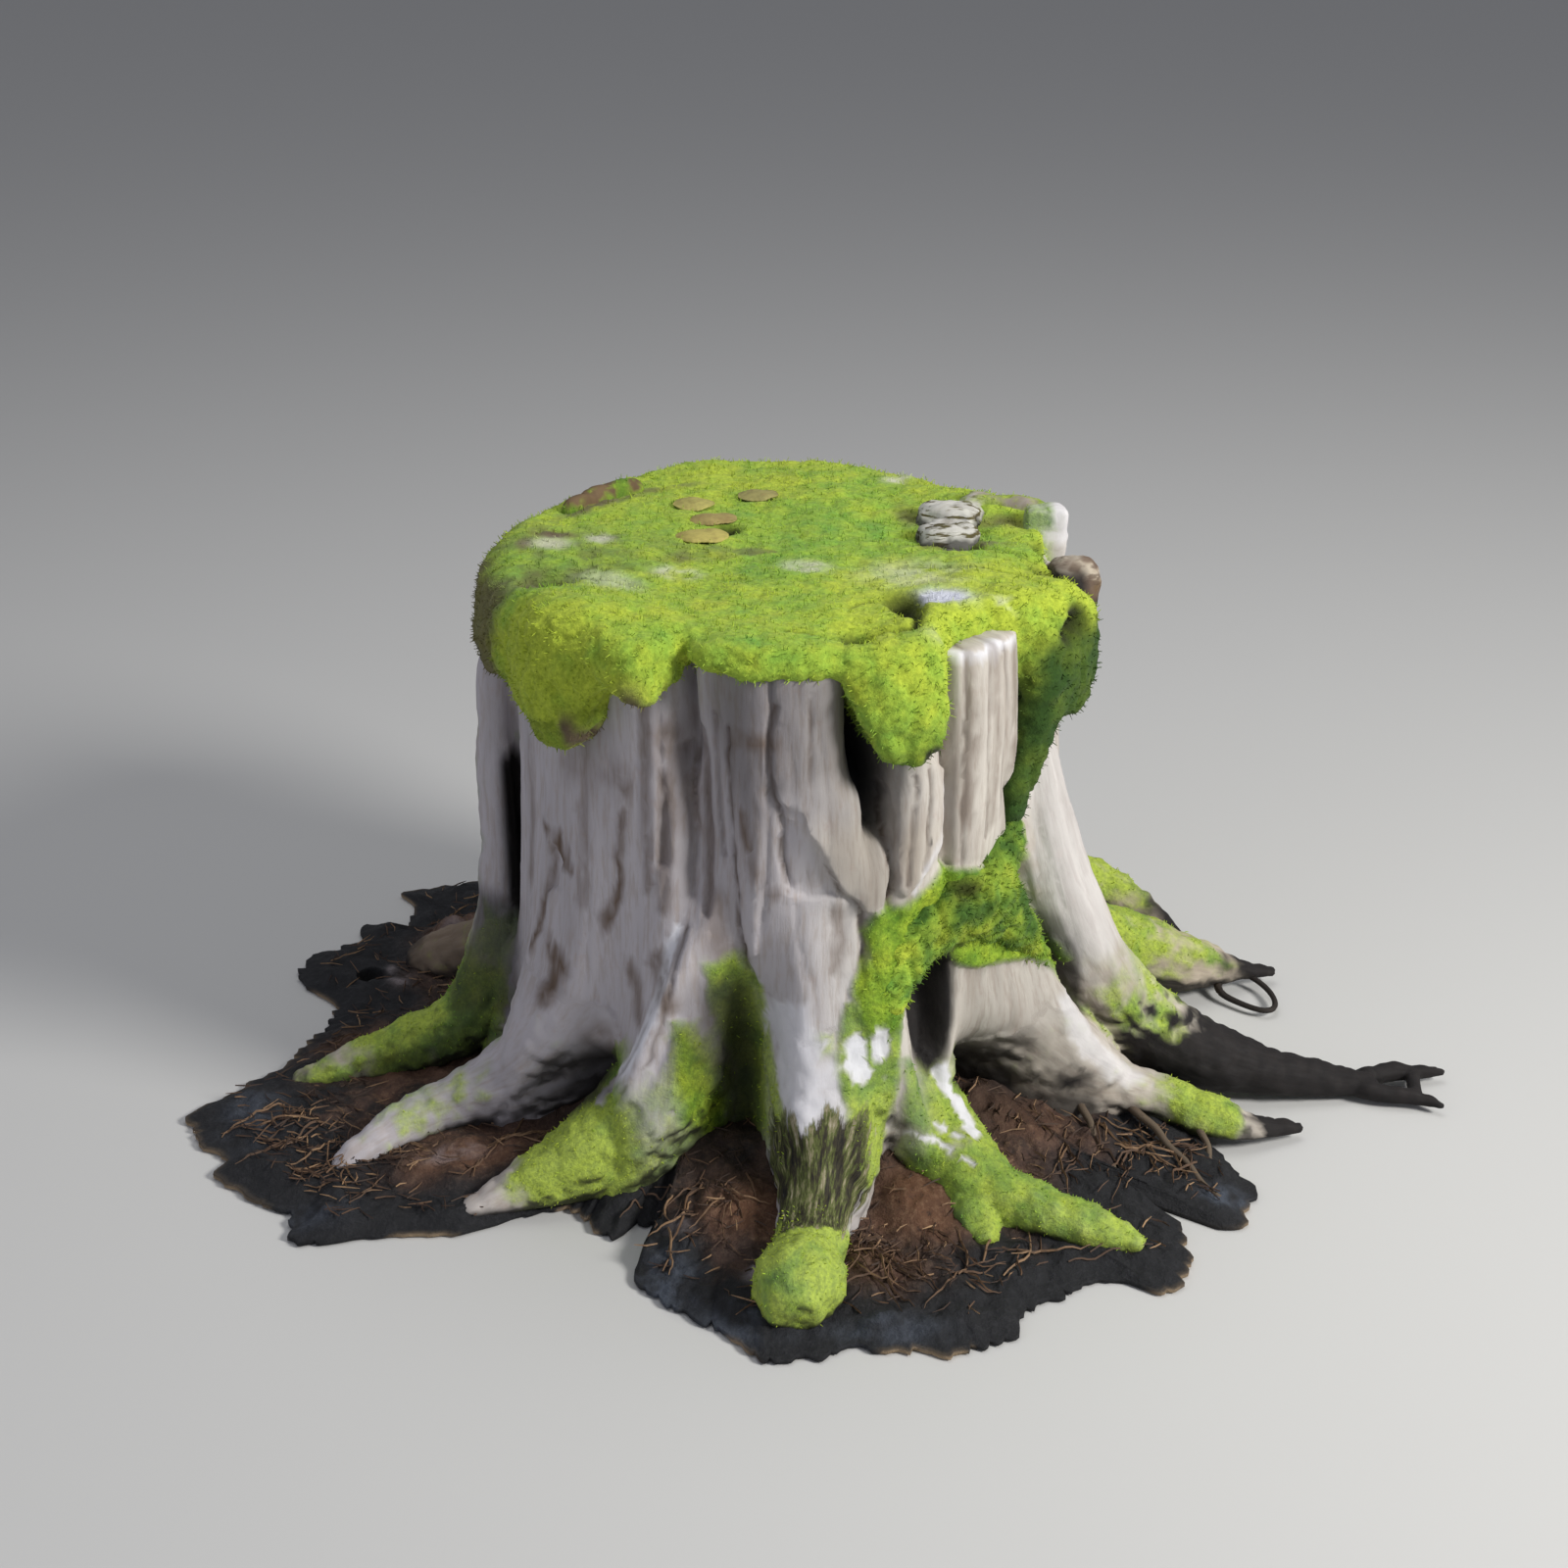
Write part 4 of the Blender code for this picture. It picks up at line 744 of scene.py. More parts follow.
def cushions(points, size, seed=0):
    """Round cushions: 1 - (distance to the nearest of one random point per cell)^2."""
    place = np.asarray(points) / size
    cell = np.floor(place).astype(np.int64)
    nearest = np.full(len(place), 9.0)
    for dx in (-1, 0, 1):
        for dy in (-1, 0, 1):
            for dz in (-1, 0, 1):
                near = cell + np.array([dx, dy, dz])
                ids = (near[:, 0], near[:, 1], near[:, 2])
                spot = np.stack([lattice_number(*ids, seed + k) for k in (1, 2, 3)], axis=-1)
                nearest = np.minimum(nearest, ((near + spot - place) ** 2).sum(axis=1))
    return np.clip(1 - nearest, 0, 1)


# Meshes


def new_object(name, points, faces, smooth=True):
    mesh = bpy.data.meshes.new(name)
    mesh.from_pydata(np.asarray(points).tolist(), [], faces)
    mesh.polygons.foreach_set("use_smooth", [smooth] * len(mesh.polygons))
    mesh.update()
    obj = bpy.data.objects.new(name, mesh)
    bpy.context.scene.collection.objects.link(obj)
    return obj


def skin(rows):
    """A grid (rows, columns, 3) closed round its columns, with a fan to the middle of each end."""
    count, around = rows.shape[:2]
    index = np.arange(count * around).reshape(count, around)
    following = np.roll(index, -1, axis=1)
    quads = np.stack([index[:-1], following[:-1], following[1:], index[1:]], axis=-1)
    low = np.full(around, count * around)
    fan_low = np.stack([following[0], index[0], low], axis=-1)
    fan_high = np.stack([index[-1], following[-1], low + 1], axis=-1)
    ends = np.stack([rows[0].mean(axis=0), rows[-1].mean(axis=0)])
    points = np.concatenate([rows.reshape(-1, 3), ends])
    return points, quads.reshape(-1, 4).tolist() + fan_low.tolist() + fan_high.tolist()


def join(parts):
    """Several (points, faces) as one."""
    points, faces, start = [], [], 0
    for some, ring in parts:
        points.append(some)
        faces.extend([[start + k for k in face] for face in ring])
        start += len(some)
    return np.concatenate(points), faces


def spline(path, count):
    """A clamped cubic B-spline: each point is a blend of four points of the path."""
    path = np.array(path, float)
    number = len(path)
    degree = min(3, number - 1)
    inner = np.linspace(0, 1, number - degree + 1)
    knots = np.concatenate([np.zeros(degree), inner, np.ones(degree)])
    at = np.linspace(0, 1 - 1e-9, count)[:, None]
    basis = ((at >= knots[:-1]) & (at < knots[1:])).astype(float)
    for d in range(1, degree + 1):
        rise = (at - knots[: -d - 1]) / np.maximum(knots[d:-1] - knots[: -d - 1], 1e-12)
        fall = (knots[d + 1 :] - at) / np.maximum(knots[d + 1 :] - knots[1:-d], 1e-12)
        basis = rise * basis[:, :-1] + fall * basis[:, 1:]
    return basis @ path


def rod_frame(path, count):
    """Along the spline: middle, radius, tangent, side, up, and length so far."""
    line = spline(path, count)
    middle, radius = line[:, :3], line[:, 3]
    tangent = np.gradient(middle, axis=0)
    tangent /= np.linalg.norm(tangent, axis=1)[:, None] + 1e-12
    way = middle[-1] - middle[0]
    across = np.array([-way[1], way[0], 0.0])
    if np.linalg.norm(across) < 1e-4:
        across = np.array([1.0, 0.0, 0.0])
    side = across - (tangent @ across)[:, None] * tangent
    side /= np.linalg.norm(side, axis=1)[:, None]
    up = np.cross(tangent, side)
    run = np.concatenate([[0], np.cumsum(np.linalg.norm(np.diff(middle, axis=0), axis=1))])
    return middle, radius, tangent, side, up, run


def rod(path, around=12, along=24, flat=1.0):
    """A circle carried along the spline: middle + r (cos a side + flat sin a up)."""
    middle, radius, _, side, up, _ = rod_frame(path, along)
    turn = np.linspace(0, 2 * math.pi, around, endpoint=False)[None, :, None]
    ring = np.cos(turn) * side[:, None] + flat * np.sin(turn) * up[:, None]
    return skin(middle[:, None] + radius[:, None, None] * ring)


def ball(place, half_sizes, turn, around=40, rows=22, square=1.0):
    """An ellipsoid from latitude and longitude, turned about Z. Sines and cosines raised to a
    power under 1 keep their sign and square it off."""
    high = np.radians(np.linspace(-87, 87, rows))[:, None]
    way = np.linspace(0, 2 * math.pi, around, endpoint=False)[None]
    waves = (np.cos(way), np.sin(way), np.sin(high))
    c, s, rise = (np.sign(wave) * np.abs(wave) ** square for wave in waves)
    level = np.cos(high) ** square
    x = half_sizes[0] * level * c
    y = half_sizes[1] * level * s
    z = half_sizes[2] * rise + 0 * way
    c, s = math.cos(math.radians(turn)), math.sin(math.radians(turn))
    turned = (place[0] + c * x - s * y, place[1] + s * x + c * y, place[2] + z)
    return skin(np.stack(turned, axis=-1))


def from_polar(path):
    """Points given by angle, radius, height and girth as x, y, z and girth."""
    table = np.array(path)
    middle = polar_point(table[:, 0], table[:, 1], table[:, 2])
    return np.concatenate([middle, table[:, 3:]], axis=1)


def bake(obj):
    """Turns an object's modifiers into plain mesh."""
    bpy.context.view_layer.update()
    graph = bpy.context.evaluated_depsgraph_get()
    mesh = bpy.data.meshes.new_from_object(obj.evaluated_get(graph))
    obj.modifiers.clear()
    old = obj.data
    obj.data = mesh
    bpy.data.meshes.remove(old)
    mesh.name = obj.name
    mesh.polygons.foreach_set("use_smooth", [True] * len(mesh.polygons))
    return obj


def grow_together(obj, voxel, smoothing):
    """Fuses the overlapping shells of one object, and softens the steps of the voxels."""
    remesh = obj.modifiers.new("grow together", "REMESH")
    remesh.mode = "VOXEL"
    remesh.voxel_size = voxel
    soften = obj.modifiers.new("soften", "SMOOTH")
    soften.factor = 0.5
    soften.iterations = smoothing
    return bake(obj)


def thin(obj, triangles):
    """Collapses the flattest edges until the mesh has about that many triangles."""
    now = sum(len(p.vertices) - 2 for p in obj.data.polygons)
    if now > triangles:
        collapse = obj.modifiers.new("thin", "DECIMATE")
        collapse.ratio = triangles / now
        bake(obj)
    return obj


def vertex_vectors(obj, name):
    found = np.empty(3 * len(obj.data.vertices), np.float32)
    obj.data.vertices.foreach_get(name, found)
    return found.reshape(-1, 3).astype(np.float64)


def places(obj):
    return vertex_vectors(obj, "co")


def normals(obj):
    return vertex_vectors(obj, "normal")


def move_to(obj, points):
    obj.data.vertices.foreach_set("co", points.astype(np.float32).ravel())
    obj.data.update()


def paint(obj, name, values):
    """Stores one number, or three, for each vertex, for the material to read."""
    values = np.asarray(values, np.float32)
    kind = "FLOAT" if values.ndim == 1 else "FLOAT_VECTOR"
    layer = obj.data.attributes.new(name, kind, "POINT")
    layer.data.foreach_set("value" if kind == "FLOAT" else "vector", values.ravel())


def painted(obj, name):
    """The numbers that paint stored under that name."""
    values = np.empty(len(obj.data.vertices), np.float32)
    obj.data.attributes[name].data.foreach_get("value", values)
    return values


def put_in_place(obj, material, slot, *nodes):
    obj.data.materials.clear()
    obj.data.materials.append(material)
    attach(obj, "root")
    if nodes:
        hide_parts(*nodes)
    return obj


def line_distance(points, line):
    """Distance of each point (n, 2) from a broken line (m, 2)."""
    best = np.full(len(points), 9.0)
    line = np.asarray(line, float)
    for a, b in zip(line[:-1], line[1:]):
        along = b - a
        share = np.clip(((points - a) @ along) / (along @ along + 1e-12), 0, 1)
        best = np.minimum(best, np.hypot(*(points - a - share[:, None] * along).T))
    return best


# Material helpers: each returns the output socket of a new node


class Mixer:
    """Short names for the nodes of one material."""

    def __init__(self, name):
        self.material = bpy.data.materials.new(name)
        self.material.use_nodes = True
        self.tree = self.material.node_tree
        self.shader = self.tree.nodes["Principled BSDF"]
        self.place = self.node("ShaderNodeTexCoord").outputs["Object"]

    def node(self, kind):
        return self.tree.nodes.new(kind)

    def link(self, source, socket):
        if hasattr(source, "is_linked"):
            self.tree.links.new(source, socket)
        else:
            socket.default_value = source

    def attribute(self, name, vector=False):
        node = self.node("ShaderNodeAttribute")
        node.attribute_name = name
        return node.outputs["Vector" if vector else "Fac"]

    def noise(self, scale, detail=4.0, rough=0.6, place=None):
        node = self.node("ShaderNodeTexNoise")
        node.inputs["Scale"].default_value = scale
        node.inputs["Detail"].default_value = detail
        node.inputs["Roughness"].default_value = rough
        self.link(place or self.place, node.inputs["Vector"])
        return node.outputs["Fac"]

    def stretch(self, place, scale):
        node = self.node("ShaderNodeMapping")
        node.inputs["Scale"].default_value = scale
        self.link(place, node.inputs["Vector"])
        return node.outputs["Vector"]

    def span(self, value, low, high, to_low=0.0, to_high=1.0):
        node = self.node("ShaderNodeMapRange")
        names = ("From Min", "From Max", "To Min", "To Max")
        for name, number in zip(names, (low, high, to_low, to_high)):
            node.inputs[name].default_value = number
        self.link(value, node.inputs["Value"])
        return node.outputs["Result"]

    def sum(self, kind, first, second):
        node = self.node("ShaderNodeMath")
        node.operation = kind
        node.use_clamp = kind != "MULTIPLY_ADD"
        self.link(first, node.inputs[0])
        self.link(second, node.inputs[1])
        return node.outputs[0]

    def mix(self, share, first, second, kind="MIX"):
        node = self.node("ShaderNodeMix")
        node.data_type = "RGBA"
        node.blend_type = kind
        self.link(share, node.inputs["Factor"])
        for socket, colour in ((node.inputs[6], first), (node.inputs[7], second)):
            self.link((*colour, 1.0) if isinstance(colour, tuple) else colour, socket)
        return node.outputs[2]

    def ramp(self, value, *stops):
        node = self.node("ShaderNodeValToRGB")
        bar = node.color_ramp
        while len(bar.elements) < len(stops):
            bar.elements.new(0.5)
        for element, (at, colour) in zip(bar.elements, stops):
            element.position = at
            element.color = (*colour, 1.0)
        self.link(value, node.inputs["Fac"])
        return node.outputs["Color"]

    def bump(self, height, strength, distance, before=None):
        node = self.node("ShaderNodeBump")
        node.inputs["Strength"].default_value = strength
        node.inputs["Distance"].default_value = distance
        self.link(height, node.inputs["Height"])
        if before:
            self.link(before, node.inputs["Normal"])
        return node.outputs["Normal"]

    def finish(self, colour, roughness, normal):
        self.link(colour, self.shader.inputs["Base Color"])
        self.link(roughness, self.shader.inputs["Roughness"])
        self.link(normal, self.shader.inputs["Normal"])
        return self.material


# The wood


def root_frames():
    """Each root's frame: middle, radius, tangent, side, up, and length so far."""
    return [rod_frame(path, max(12, int(90 * len(path) / 8))) for path in ROOTS.values()]


def wood_grain(points):
    """The wood's own coordinates: a cross-section place that is the same all along a fibre, and the
    length along it, pressed 8 times. Round the trunk the fibres run down; on a root, along it.
    Also how much each point belongs to a root, which one, and how far along it as a share."""
    degrees = angle_of(points)
    radius = np.hypot(points[:, 0], points[:, 1])
    down = (points[:, 2] - 0.8 * (radius - TRUNK_RADIUS)) / 8
    grain = polar_point(degrees, np.full(len(points), TRUNK_RADIUS), down)
    nearest = np.full(len(points), 9.0)
    owner = np.full(len(points), -1)
    share_along = np.zeros(len(points))
    for number, (middle, girth, tangent, side, up, run) in enumerate(root_frames()):
        low, high = middle.min(axis=0) - 0.09, middle.max(axis=0) + 0.09
        near = np.flatnonzero(((points > low) & (points < high)).all(axis=1))
        if not len(near):
            continue
        some = points[near]
        square = (some**2).sum(1)[:, None] + (middle**2).sum(1)[None] - 2 * some @ middle.T
        share = np.sqrt(np.maximum(square, 0)) / girth[None]
        best = share.argmin(axis=1)
        score = share[np.arange(len(near)), best]
        wins = score < nearest[near]
        near, best, score, some = near[wins], best[wins], score[wins], some[wins]
        off = some - middle[best]
        turn = np.arctan2((off * side[best]).sum(1), (off * up[best]).sum(1))
        along = run[best] + (off * tangent[best]).sum(1)
        wide = np.clip(girth[best], 0.012, 0.03)
        own = np.stack([wide * np.sin(turn), wide * np.cos(turn) + 3 * number, along / 8], axis=-1)
        nearest[near] = score
        owner[near] = number
        share_along[near] = along / run[-1]
        on_root = ease(-score, -1.75, -1.35) > 0.5
        grain[near[on_root]] = own[on_root]
    root_share = ease(-nearest, -2.0, -1.2) * ease(-points[:, 2], -0.20, -0.12)
    return degrees, radius, grain, root_share, owner, share_along


def flat_place(degrees, points):
    """Places on the trunk unrolled: metres round it, and height, shaken a little so that edges
    wander."""
    shake = np.stack([cloud(points, 0.014, 21), 1.5 * cloud(points, 0.016, 22)], axis=-1)
    unshaken = np.stack([np.radians(degrees) * TRUNK_RADIUS, points[:, 2]], axis=-1)
    return unshaken + 0.0018 * shake


def unrolled(line):
    return [(math.radians(a) * TRUNK_RADIUS, z) for a, z in line]


def region(flat, outline, soft):
    """1 inside the outline and 0 outside it, changing over that distance to either side of its
    edge."""
    corners = np.array(unrolled(outline))
    inside = np.zeros(len(flat), bool)
    for a, b in zip(corners, np.roll(corners, -1, axis=0)):
        over = (a[1] > flat[:, 1]) != (b[1] > flat[:, 1])
        crossing = a[0] + (flat[:, 1] - a[1]) * (b[0] - a[0]) / (b[1] - a[1] + 1e-12)
        inside ^= over & (flat[:, 0] < crossing)
    edge = line_distance(flat, np.concatenate([corners, corners[:1]]))
    return ease(np.where(inside, edge, -edge), -soft, soft)


def along_roots(owner, share_along, table, empty=0.0):
    """A value read from each root's own table at each point's share of the length."""
    value = np.full(len(owner), empty)
    for number, name in enumerate(ROOTS):
        if name in table:
            mine = owner == number
            shares, amounts = np.array(table[name]).T
            value[mine] = np.interp(share_along[mine], shares, amounts)
    return value


def in_ball(points, place, half_sizes, turn, square):
    """1 inside one of the rim's pieces and just over its surface, and 0 away from it."""
    c, s = math.cos(math.radians(turn)), math.sin(math.radians(turn))
    x, y, z = (points - place).T
    own = np.stack([c * x + s * y, c * y - s * x, z], axis=-1) / (np.array(half_sizes) + 0.003)
    return ease(-np.linalg.norm(own, axis=1), -1.75, -1.45)


def slab_bands(points):
    """Grooves between the layers of the two slabs: 1 on long curved lines of the plan, 0 off
    them. Their colour is in the material, because the thinned mesh is too coarse for it."""
    best = np.zeros(len(points))
    for line, width in (
        (((0.124, 0.076), (0.146, 0.064), (0.172, 0.052), (0.192, 0.030)), 0.0055),
        (((0.128, 0.098), (0.150, 0.091), (0.176, 0.076), (0.196, 0.058)), 0.0042),
        (((0.126, 0.048), (0.150, 0.040), (0.170, 0.026)), 0.0036),
    ):
        best = np.maximum(best, np.exp(-((line_distance(points[:, :2], line) / width) ** 2)))
    return best


def wood_moss(points, normal, degrees, flat, root_share, owner, share_along):
    """How densely moss grows at each point, and how thick it lies there."""
    fine = clouds(points, 0.012, 13)
    broad = clouds(points, 0.040, 14)
    dense = np.zeros(len(points))
    thick = np.zeros(len(points))
    for depth, density, soft, outline in CLINGING_MOSS:
        here = region(flat, outline, soft) * density * ease(np.hypot(*points[:, :2].T), 0.16, 0.19)
        here = here * ease(here + 0.35 * fine, 0.15, 0.55)
        dense = np.maximum(dense, here)
        thick = np.maximum(thick, depth * here)
    on_roots = along_roots(owner, share_along, ROOT_MOSS)
    upward = 0.25 * ease(normal[:, 2], -0.3, 0.5)
    patchy = ease(2.2 * on_roots - 1.0 + 0.45 * broad + 0.35 * fine + upward, -0.35, 0.55)
    patchy = patchy * root_share * (on_roots > 0)
    dense = np.maximum(dense, 0.9 * patchy)
    thick = np.maximum(thick, 0.0014 * patchy)
    return np.clip(dense, 0, 1), thick


def add_shells(obj, parts):
    """Adds closed shells to an object's mesh as they are."""
    mesh = obj.data
    start = len(mesh.vertices)
    count = len(mesh.polygons)
    corners = np.empty(len(mesh.loops), np.int32)
    mesh.loops.foreach_get("vertex_index", corners)
    totals = np.empty(count, np.int32)
    mesh.polygons.foreach_get("loop_total", totals)
    faces = [piece.tolist() for piece in np.split(corners, np.cumsum(totals)[:-1])]
    more, rings = join(parts)
    faces += [[start + k for k in ring] for ring in rings]
    name = mesh.name
    joined = bpy.data.meshes.new(name)
    joined.from_pydata(np.concatenate([places(obj), more]).tolist(), [], faces)
    joined.polygons.foreach_set("use_smooth", [True] * len(joined.polygons))
    joined.update()
    obj.data = joined
    bpy.data.meshes.remove(mesh)
    joined.name = name
    return start


def build_wood():
    degrees = np.arange(0, 360, 0.6)
    heights = np.linspace(WOOD_FOOT, CUT_HEIGHT, 170)
    rows = np.stack([polar_point(degrees, trunk_radius(degrees, z), z) for z in heights])
    parts = [skin(rows)]
    for path in ROOTS.values():
        parts.append(rod(path, around=28, along=12 * len(path)))
    for place, half_sizes, turn, square in RIM_PIECES:
        parts.append(ball(place, half_sizes, turn, square=square))
    wood = new_object("trunk_and_roots", *join(parts))
    grow_together(wood, WOOD_VOXEL, SOFTENING_STEPS)
    points, normal = places(wood), normals(wood)
    degrees, radius, grain, root_share, owner, share_along = wood_grain(points)
    flat = flat_place(degrees, points)
    outside = ease(radius, 0.17, 0.20)
    height = 0.0024 * cloud(grain, 0.034, 1) + 0.0010 * cloud(grain, 0.015, 2)
    height -= 0.0012 * creases(grain, 0.022, 3, 0.16)
    height += 0.0004 * cloud(grain, 0.006, 5)
    rib = hump(degrees + 90, 10) * ease(radius, 0.250, 0.262) * ease(points[:, 2], 0.16, 0.20)
    height += rib * (0.0045 * cloud(points, 0.045, 23) + 0.0020 * cloud(points, 0.018, 24))
    warts = cushions(points, 0.015, 6) ** 2
    height += root_share * (0.0032 * warts + 0.0020 * cloud(points, 0.030, 7))
    height += 0.0005 * cloud(points, 0.009, 8)
    rim = np.max([in_ball(points, *piece) for piece in RIM_PIECES], axis=0)
    rim = rim * ease(points[:, 2], 0.500, 0.520)
    rough = 0.0034 * cloud(points, 0.026, 18) + 0.0018 * cloud(points, 0.008, 19)
    height = (1 - rim) * height + rim * rough
    height -= 0.0026 * rim * slab_bands(points)
    for step, soft, outline in PLATES:
        height += step * outside * region(flat, outline, soft)
    for width, depth, _, line in SPLITS:
        gap = line_distance(flat, unrolled(line))
        height -= depth * outside * np.exp(-((gap / (width * 1.2)) ** 2))
    dense, thick = wood_moss(points, normal, degrees, flat, root_share, owner, share_along)
    uneven = 1 + 0.6 * (cushions(points, 0.013, 9) - 0.5)
    height += thick * uneven + 0.0012 * dense * cloud(points, 0.006, 10)
    seen = ease(points[:, 2], WOOD_FOOT + 0.001, WOOD_FOOT + 0.012)
    points = points + normal * (height * seen)[:, None]
    points[:, 2] = np.maximum(points[:, 2], WOOD_FOOT)
    move_to(wood, points)
    thin(wood, WOOD_TRIANGLES)
    strands = [rod(path, around=8, along=7 * len(path)) for path in ROOTLETS]
    first_strand = add_shells(wood, strands)
    colour_wood(wood, first_strand)
    mossy = np.clip(painted(wood, "moss") - 0.45, 0, 1) * (1 - painted(wood, "earth_and_shade")).clip(0, 1)
    green = moss_material("root moss")
    add_sprigs(wood, "root_sprigs", ROOT_SPRIGS, green, "crook_moss", 20, mossy, 0.6)
    return put_in_place(wood, wood_material(), "weathered_wood", "stump_wood")


def colour_wood(wood, first_strand):
    """Masks for the wood's material, each a field of the place."""
    points, normal = places(wood), normals(wood)
    degrees, radius, grain, root_share, owner, share_along = wood_grain(points)
    z = points[:, 2]
    flat = flat_place(degrees, points)
    broad = clouds(points, 0.05, 11)
    fine = clouds(points, 0.014, 12)
    streak = cloud(grain, 0.012, 15)
    outside = ease(radius, 0.17, 0.20)
    strand = np.arange(len(points)) >= first_strand
    split = np.zeros(len(points))
    for width, _, dark, line in SPLITS:
        gap = line_distance(flat, unrolled(line))
        line_mark = dark * np.exp(-((gap / (width * 1.1)) ** 2)) * ease(fine, -1.2, 0.2)
        split = np.maximum(split, line_mark)
    stain = np.zeros(len(points))
    for width, strength, line in STAINS:
        gap = line_distance(flat, unrolled(line)) * (1 + 0.35 * fine)
        line_mark = strength * np.exp(-((gap / width) ** 3)) * ease(fine + streak, -2.0, 0.0)
        stain = np.maximum(stain, line_mark)
    # Painted shade: the wood is darker under the cap's overhang and low on the right-hand roots
    painted_shade = np.zeros(len(points))
    for strength, soft, outline in SHADE_ON_WOOD:
        painted_shade = np.maximum(painted_shade, strength * outside * region(flat, outline, soft))
    bleached = np.zeros(len(points))
    for strength, width, line in BLEACHED:
        gap = line_distance(flat, unrolled(line)) * (1 + 0.35 * fine)
        bleached = np.maximum(bleached, strength * np.exp(-((gap / width) ** 8)))
    # Painted shade: the inside of the hollow high on the right front is near black
    hollow_shade = hump(degrees - 17.5, 5.0) * hump(z - 0.43, 0.078, 4) * ease(-radius, -0.250, -0.236)
    dense, _ = wood_moss(points, normal, degrees, flat, root_share, owner, share_along)
    dense = dense * (1 - 0.95 * ease(bleached, 0.3, 0.7))
    # Near black places, mostly painted shade: recesses, clefts, undersides near the floor, the
    # cavities under the roots, the feet of the slabs and the knob; also the dark rotten ends of
    # roots and the black far end of the far right root
    earth_and_shade = np.zeros(len(points))
    streaks = np.zeros(len(points))
    for strength, streaky, furthest, soft, outline in EARTH_AND_SHADE:
        here = strength * outside * region(flat, outline, soft)
        here = here * ease(-radius, -furthest, 0.012 - furthest)
        earth_and_shade = np.maximum(earth_and_shade, here * (1 - streaky))
        streaks = np.maximum(streaks, here * streaky)
    for number, name in enumerate(ROOTS):
        if name in ROOT_DARK:
            start, end = ROOT_DARK[name]
            turned = ease(share_along + 0.04 * fine, start, end)
            earth_and_shade = np.maximum(earth_and_shade, (owner == number) * root_share * turned)
    # Painted shade on the wood's undersides near the floor
    underside_shade = ease(-normal[:, 2], 0.0, 0.5) * ease(-z, -0.16, -0.10)
    earth_and_shade = np.maximum(earth_and_shade, 0.9 * underside_shade)
    # Painted shade where the wood's low sides meet the floor
    earth_and_shade = np.maximum(earth_and_shade, 0.8 * ease(-z, -0.022, -0.011) * ease(-normal[:, 2], -0.6, -0.2))
    # The far right root turns black towards its end; the black reaches further in on its underside,
    # which is painted shade there
    reach = points[:, 0] - 0.065 * normal[:, 2]
    far_right = (points[:, 1] < 0.0) & (points[:, 1] > -0.125)
    earth_and_shade = np.maximum(earth_and_shade, far_right * ease(reach + 0.012 * fine, 0.322, 0.352))
    # Painted light: the right side, facing the key light, is tinted cream; roots, plates, knob and
    # slabs are buff of their own
    buff_and_lit_side = 0.3 * ease(degrees, 5, 35) * ease(-degrees, -120, -60)
    for number, name in enumerate(ROOTS):
        if name in ROOT_BUFF:
            buff_and_lit_side = np.maximum(buff_and_lit_side, ROOT_BUFF[name] * root_share * (owner == number))
    for _, _, outline in (PLATES[0], PLATES[2]):
        plate = 0.40 * outside * region(flat, outline, 0.010) * ease(-z, -0.40, -0.36)
        buff_and_lit_side = np.maximum(buff_and_lit_side, plate)
    knob, block, slab, slab_two, wall, curl = (in_ball(points, *piece) for piece in RIM_PIECES)
    high = ease(z, 0.520, 0.528)
    slabs = np.maximum(slab, slab_two) * high
    bark = np.maximum(curl, 0.55 * wall) * ease(z, 0.500, 0.510)
    knob_bark = np.maximum(ease(-z, -0.526, -0.514), 0.7 * ease(fine, -0.1, 0.7))
    bark = np.maximum(bark, knob * knob_bark)
    stain = np.maximum(stain, 0.5 * slabs * ease(fine, 0.1, 0.8))
    # Painted shadow at the feet of the two slabs on the rim
    slab_foot_shade = 0.8 * np.maximum(slab, slab_two) * ease(0.004 * fine - z, -0.5430, -0.5380)
    earth_and_shade = np.maximum(earth_and_shade, slab_foot_shade)
    side = ease(-normal[:, 2], -0.5, 0.2)
    grown = 0.85 * wall * ease(z, 0.500, 0.510) * ease(fine, -0.9, 0.1)
    block_moss = 0.8 * block * ease(-points[:, 0], -0.256, -0.250) * ease(fine, -1.0, 0.2)
    grown = np.maximum(grown, block_moss)
    grown = np.maximum(grown, slabs * (0.10 + 0.5 * side * ease(fine, 0.0, 0.7)))
    grown = np.maximum(grown, 0.9 * curl * ease(fine, -0.3, 0.1))
    dense = np.maximum(dense, grown)
    buff_and_lit_side = np.maximum(buff_and_lit_side, np.maximum(0.9 * knob, 0.25 * slabs))
    bleached = np.maximum(bleached, np.maximum(0.5 * block * high, 0.35 * slabs))
    # Painted shade on the knob's underside and its left end
    knob_left = ease(-z, -0.536, -0.524) * ease(-points[:, 0], -0.280, -0.270)
    knob_underside_shade = np.maximum(ease(-z, -0.508, -0.496), knob_left)
    earth_and_shade = np.maximum(earth_and_shade, 0.95 * knob * knob_underside_shade)
    stain = np.maximum(stain, 0.8 * knob * ease(fine, -0.2, 0.5))
    far_left = root_share * (owner == list(ROOTS).index("rib_and_far_left"))
    far_left_shade = 0.5 * far_left * ease(-normal[:, 2], -0.75, -0.2) * ease(-z, -0.14, -0.09)
    earth_and_shade = np.maximum(earth_and_shade, far_left_shade)
    bark = np.maximum(bark, 0.85 * root_share * (owner == list(ROOTS).index("left_behind")))
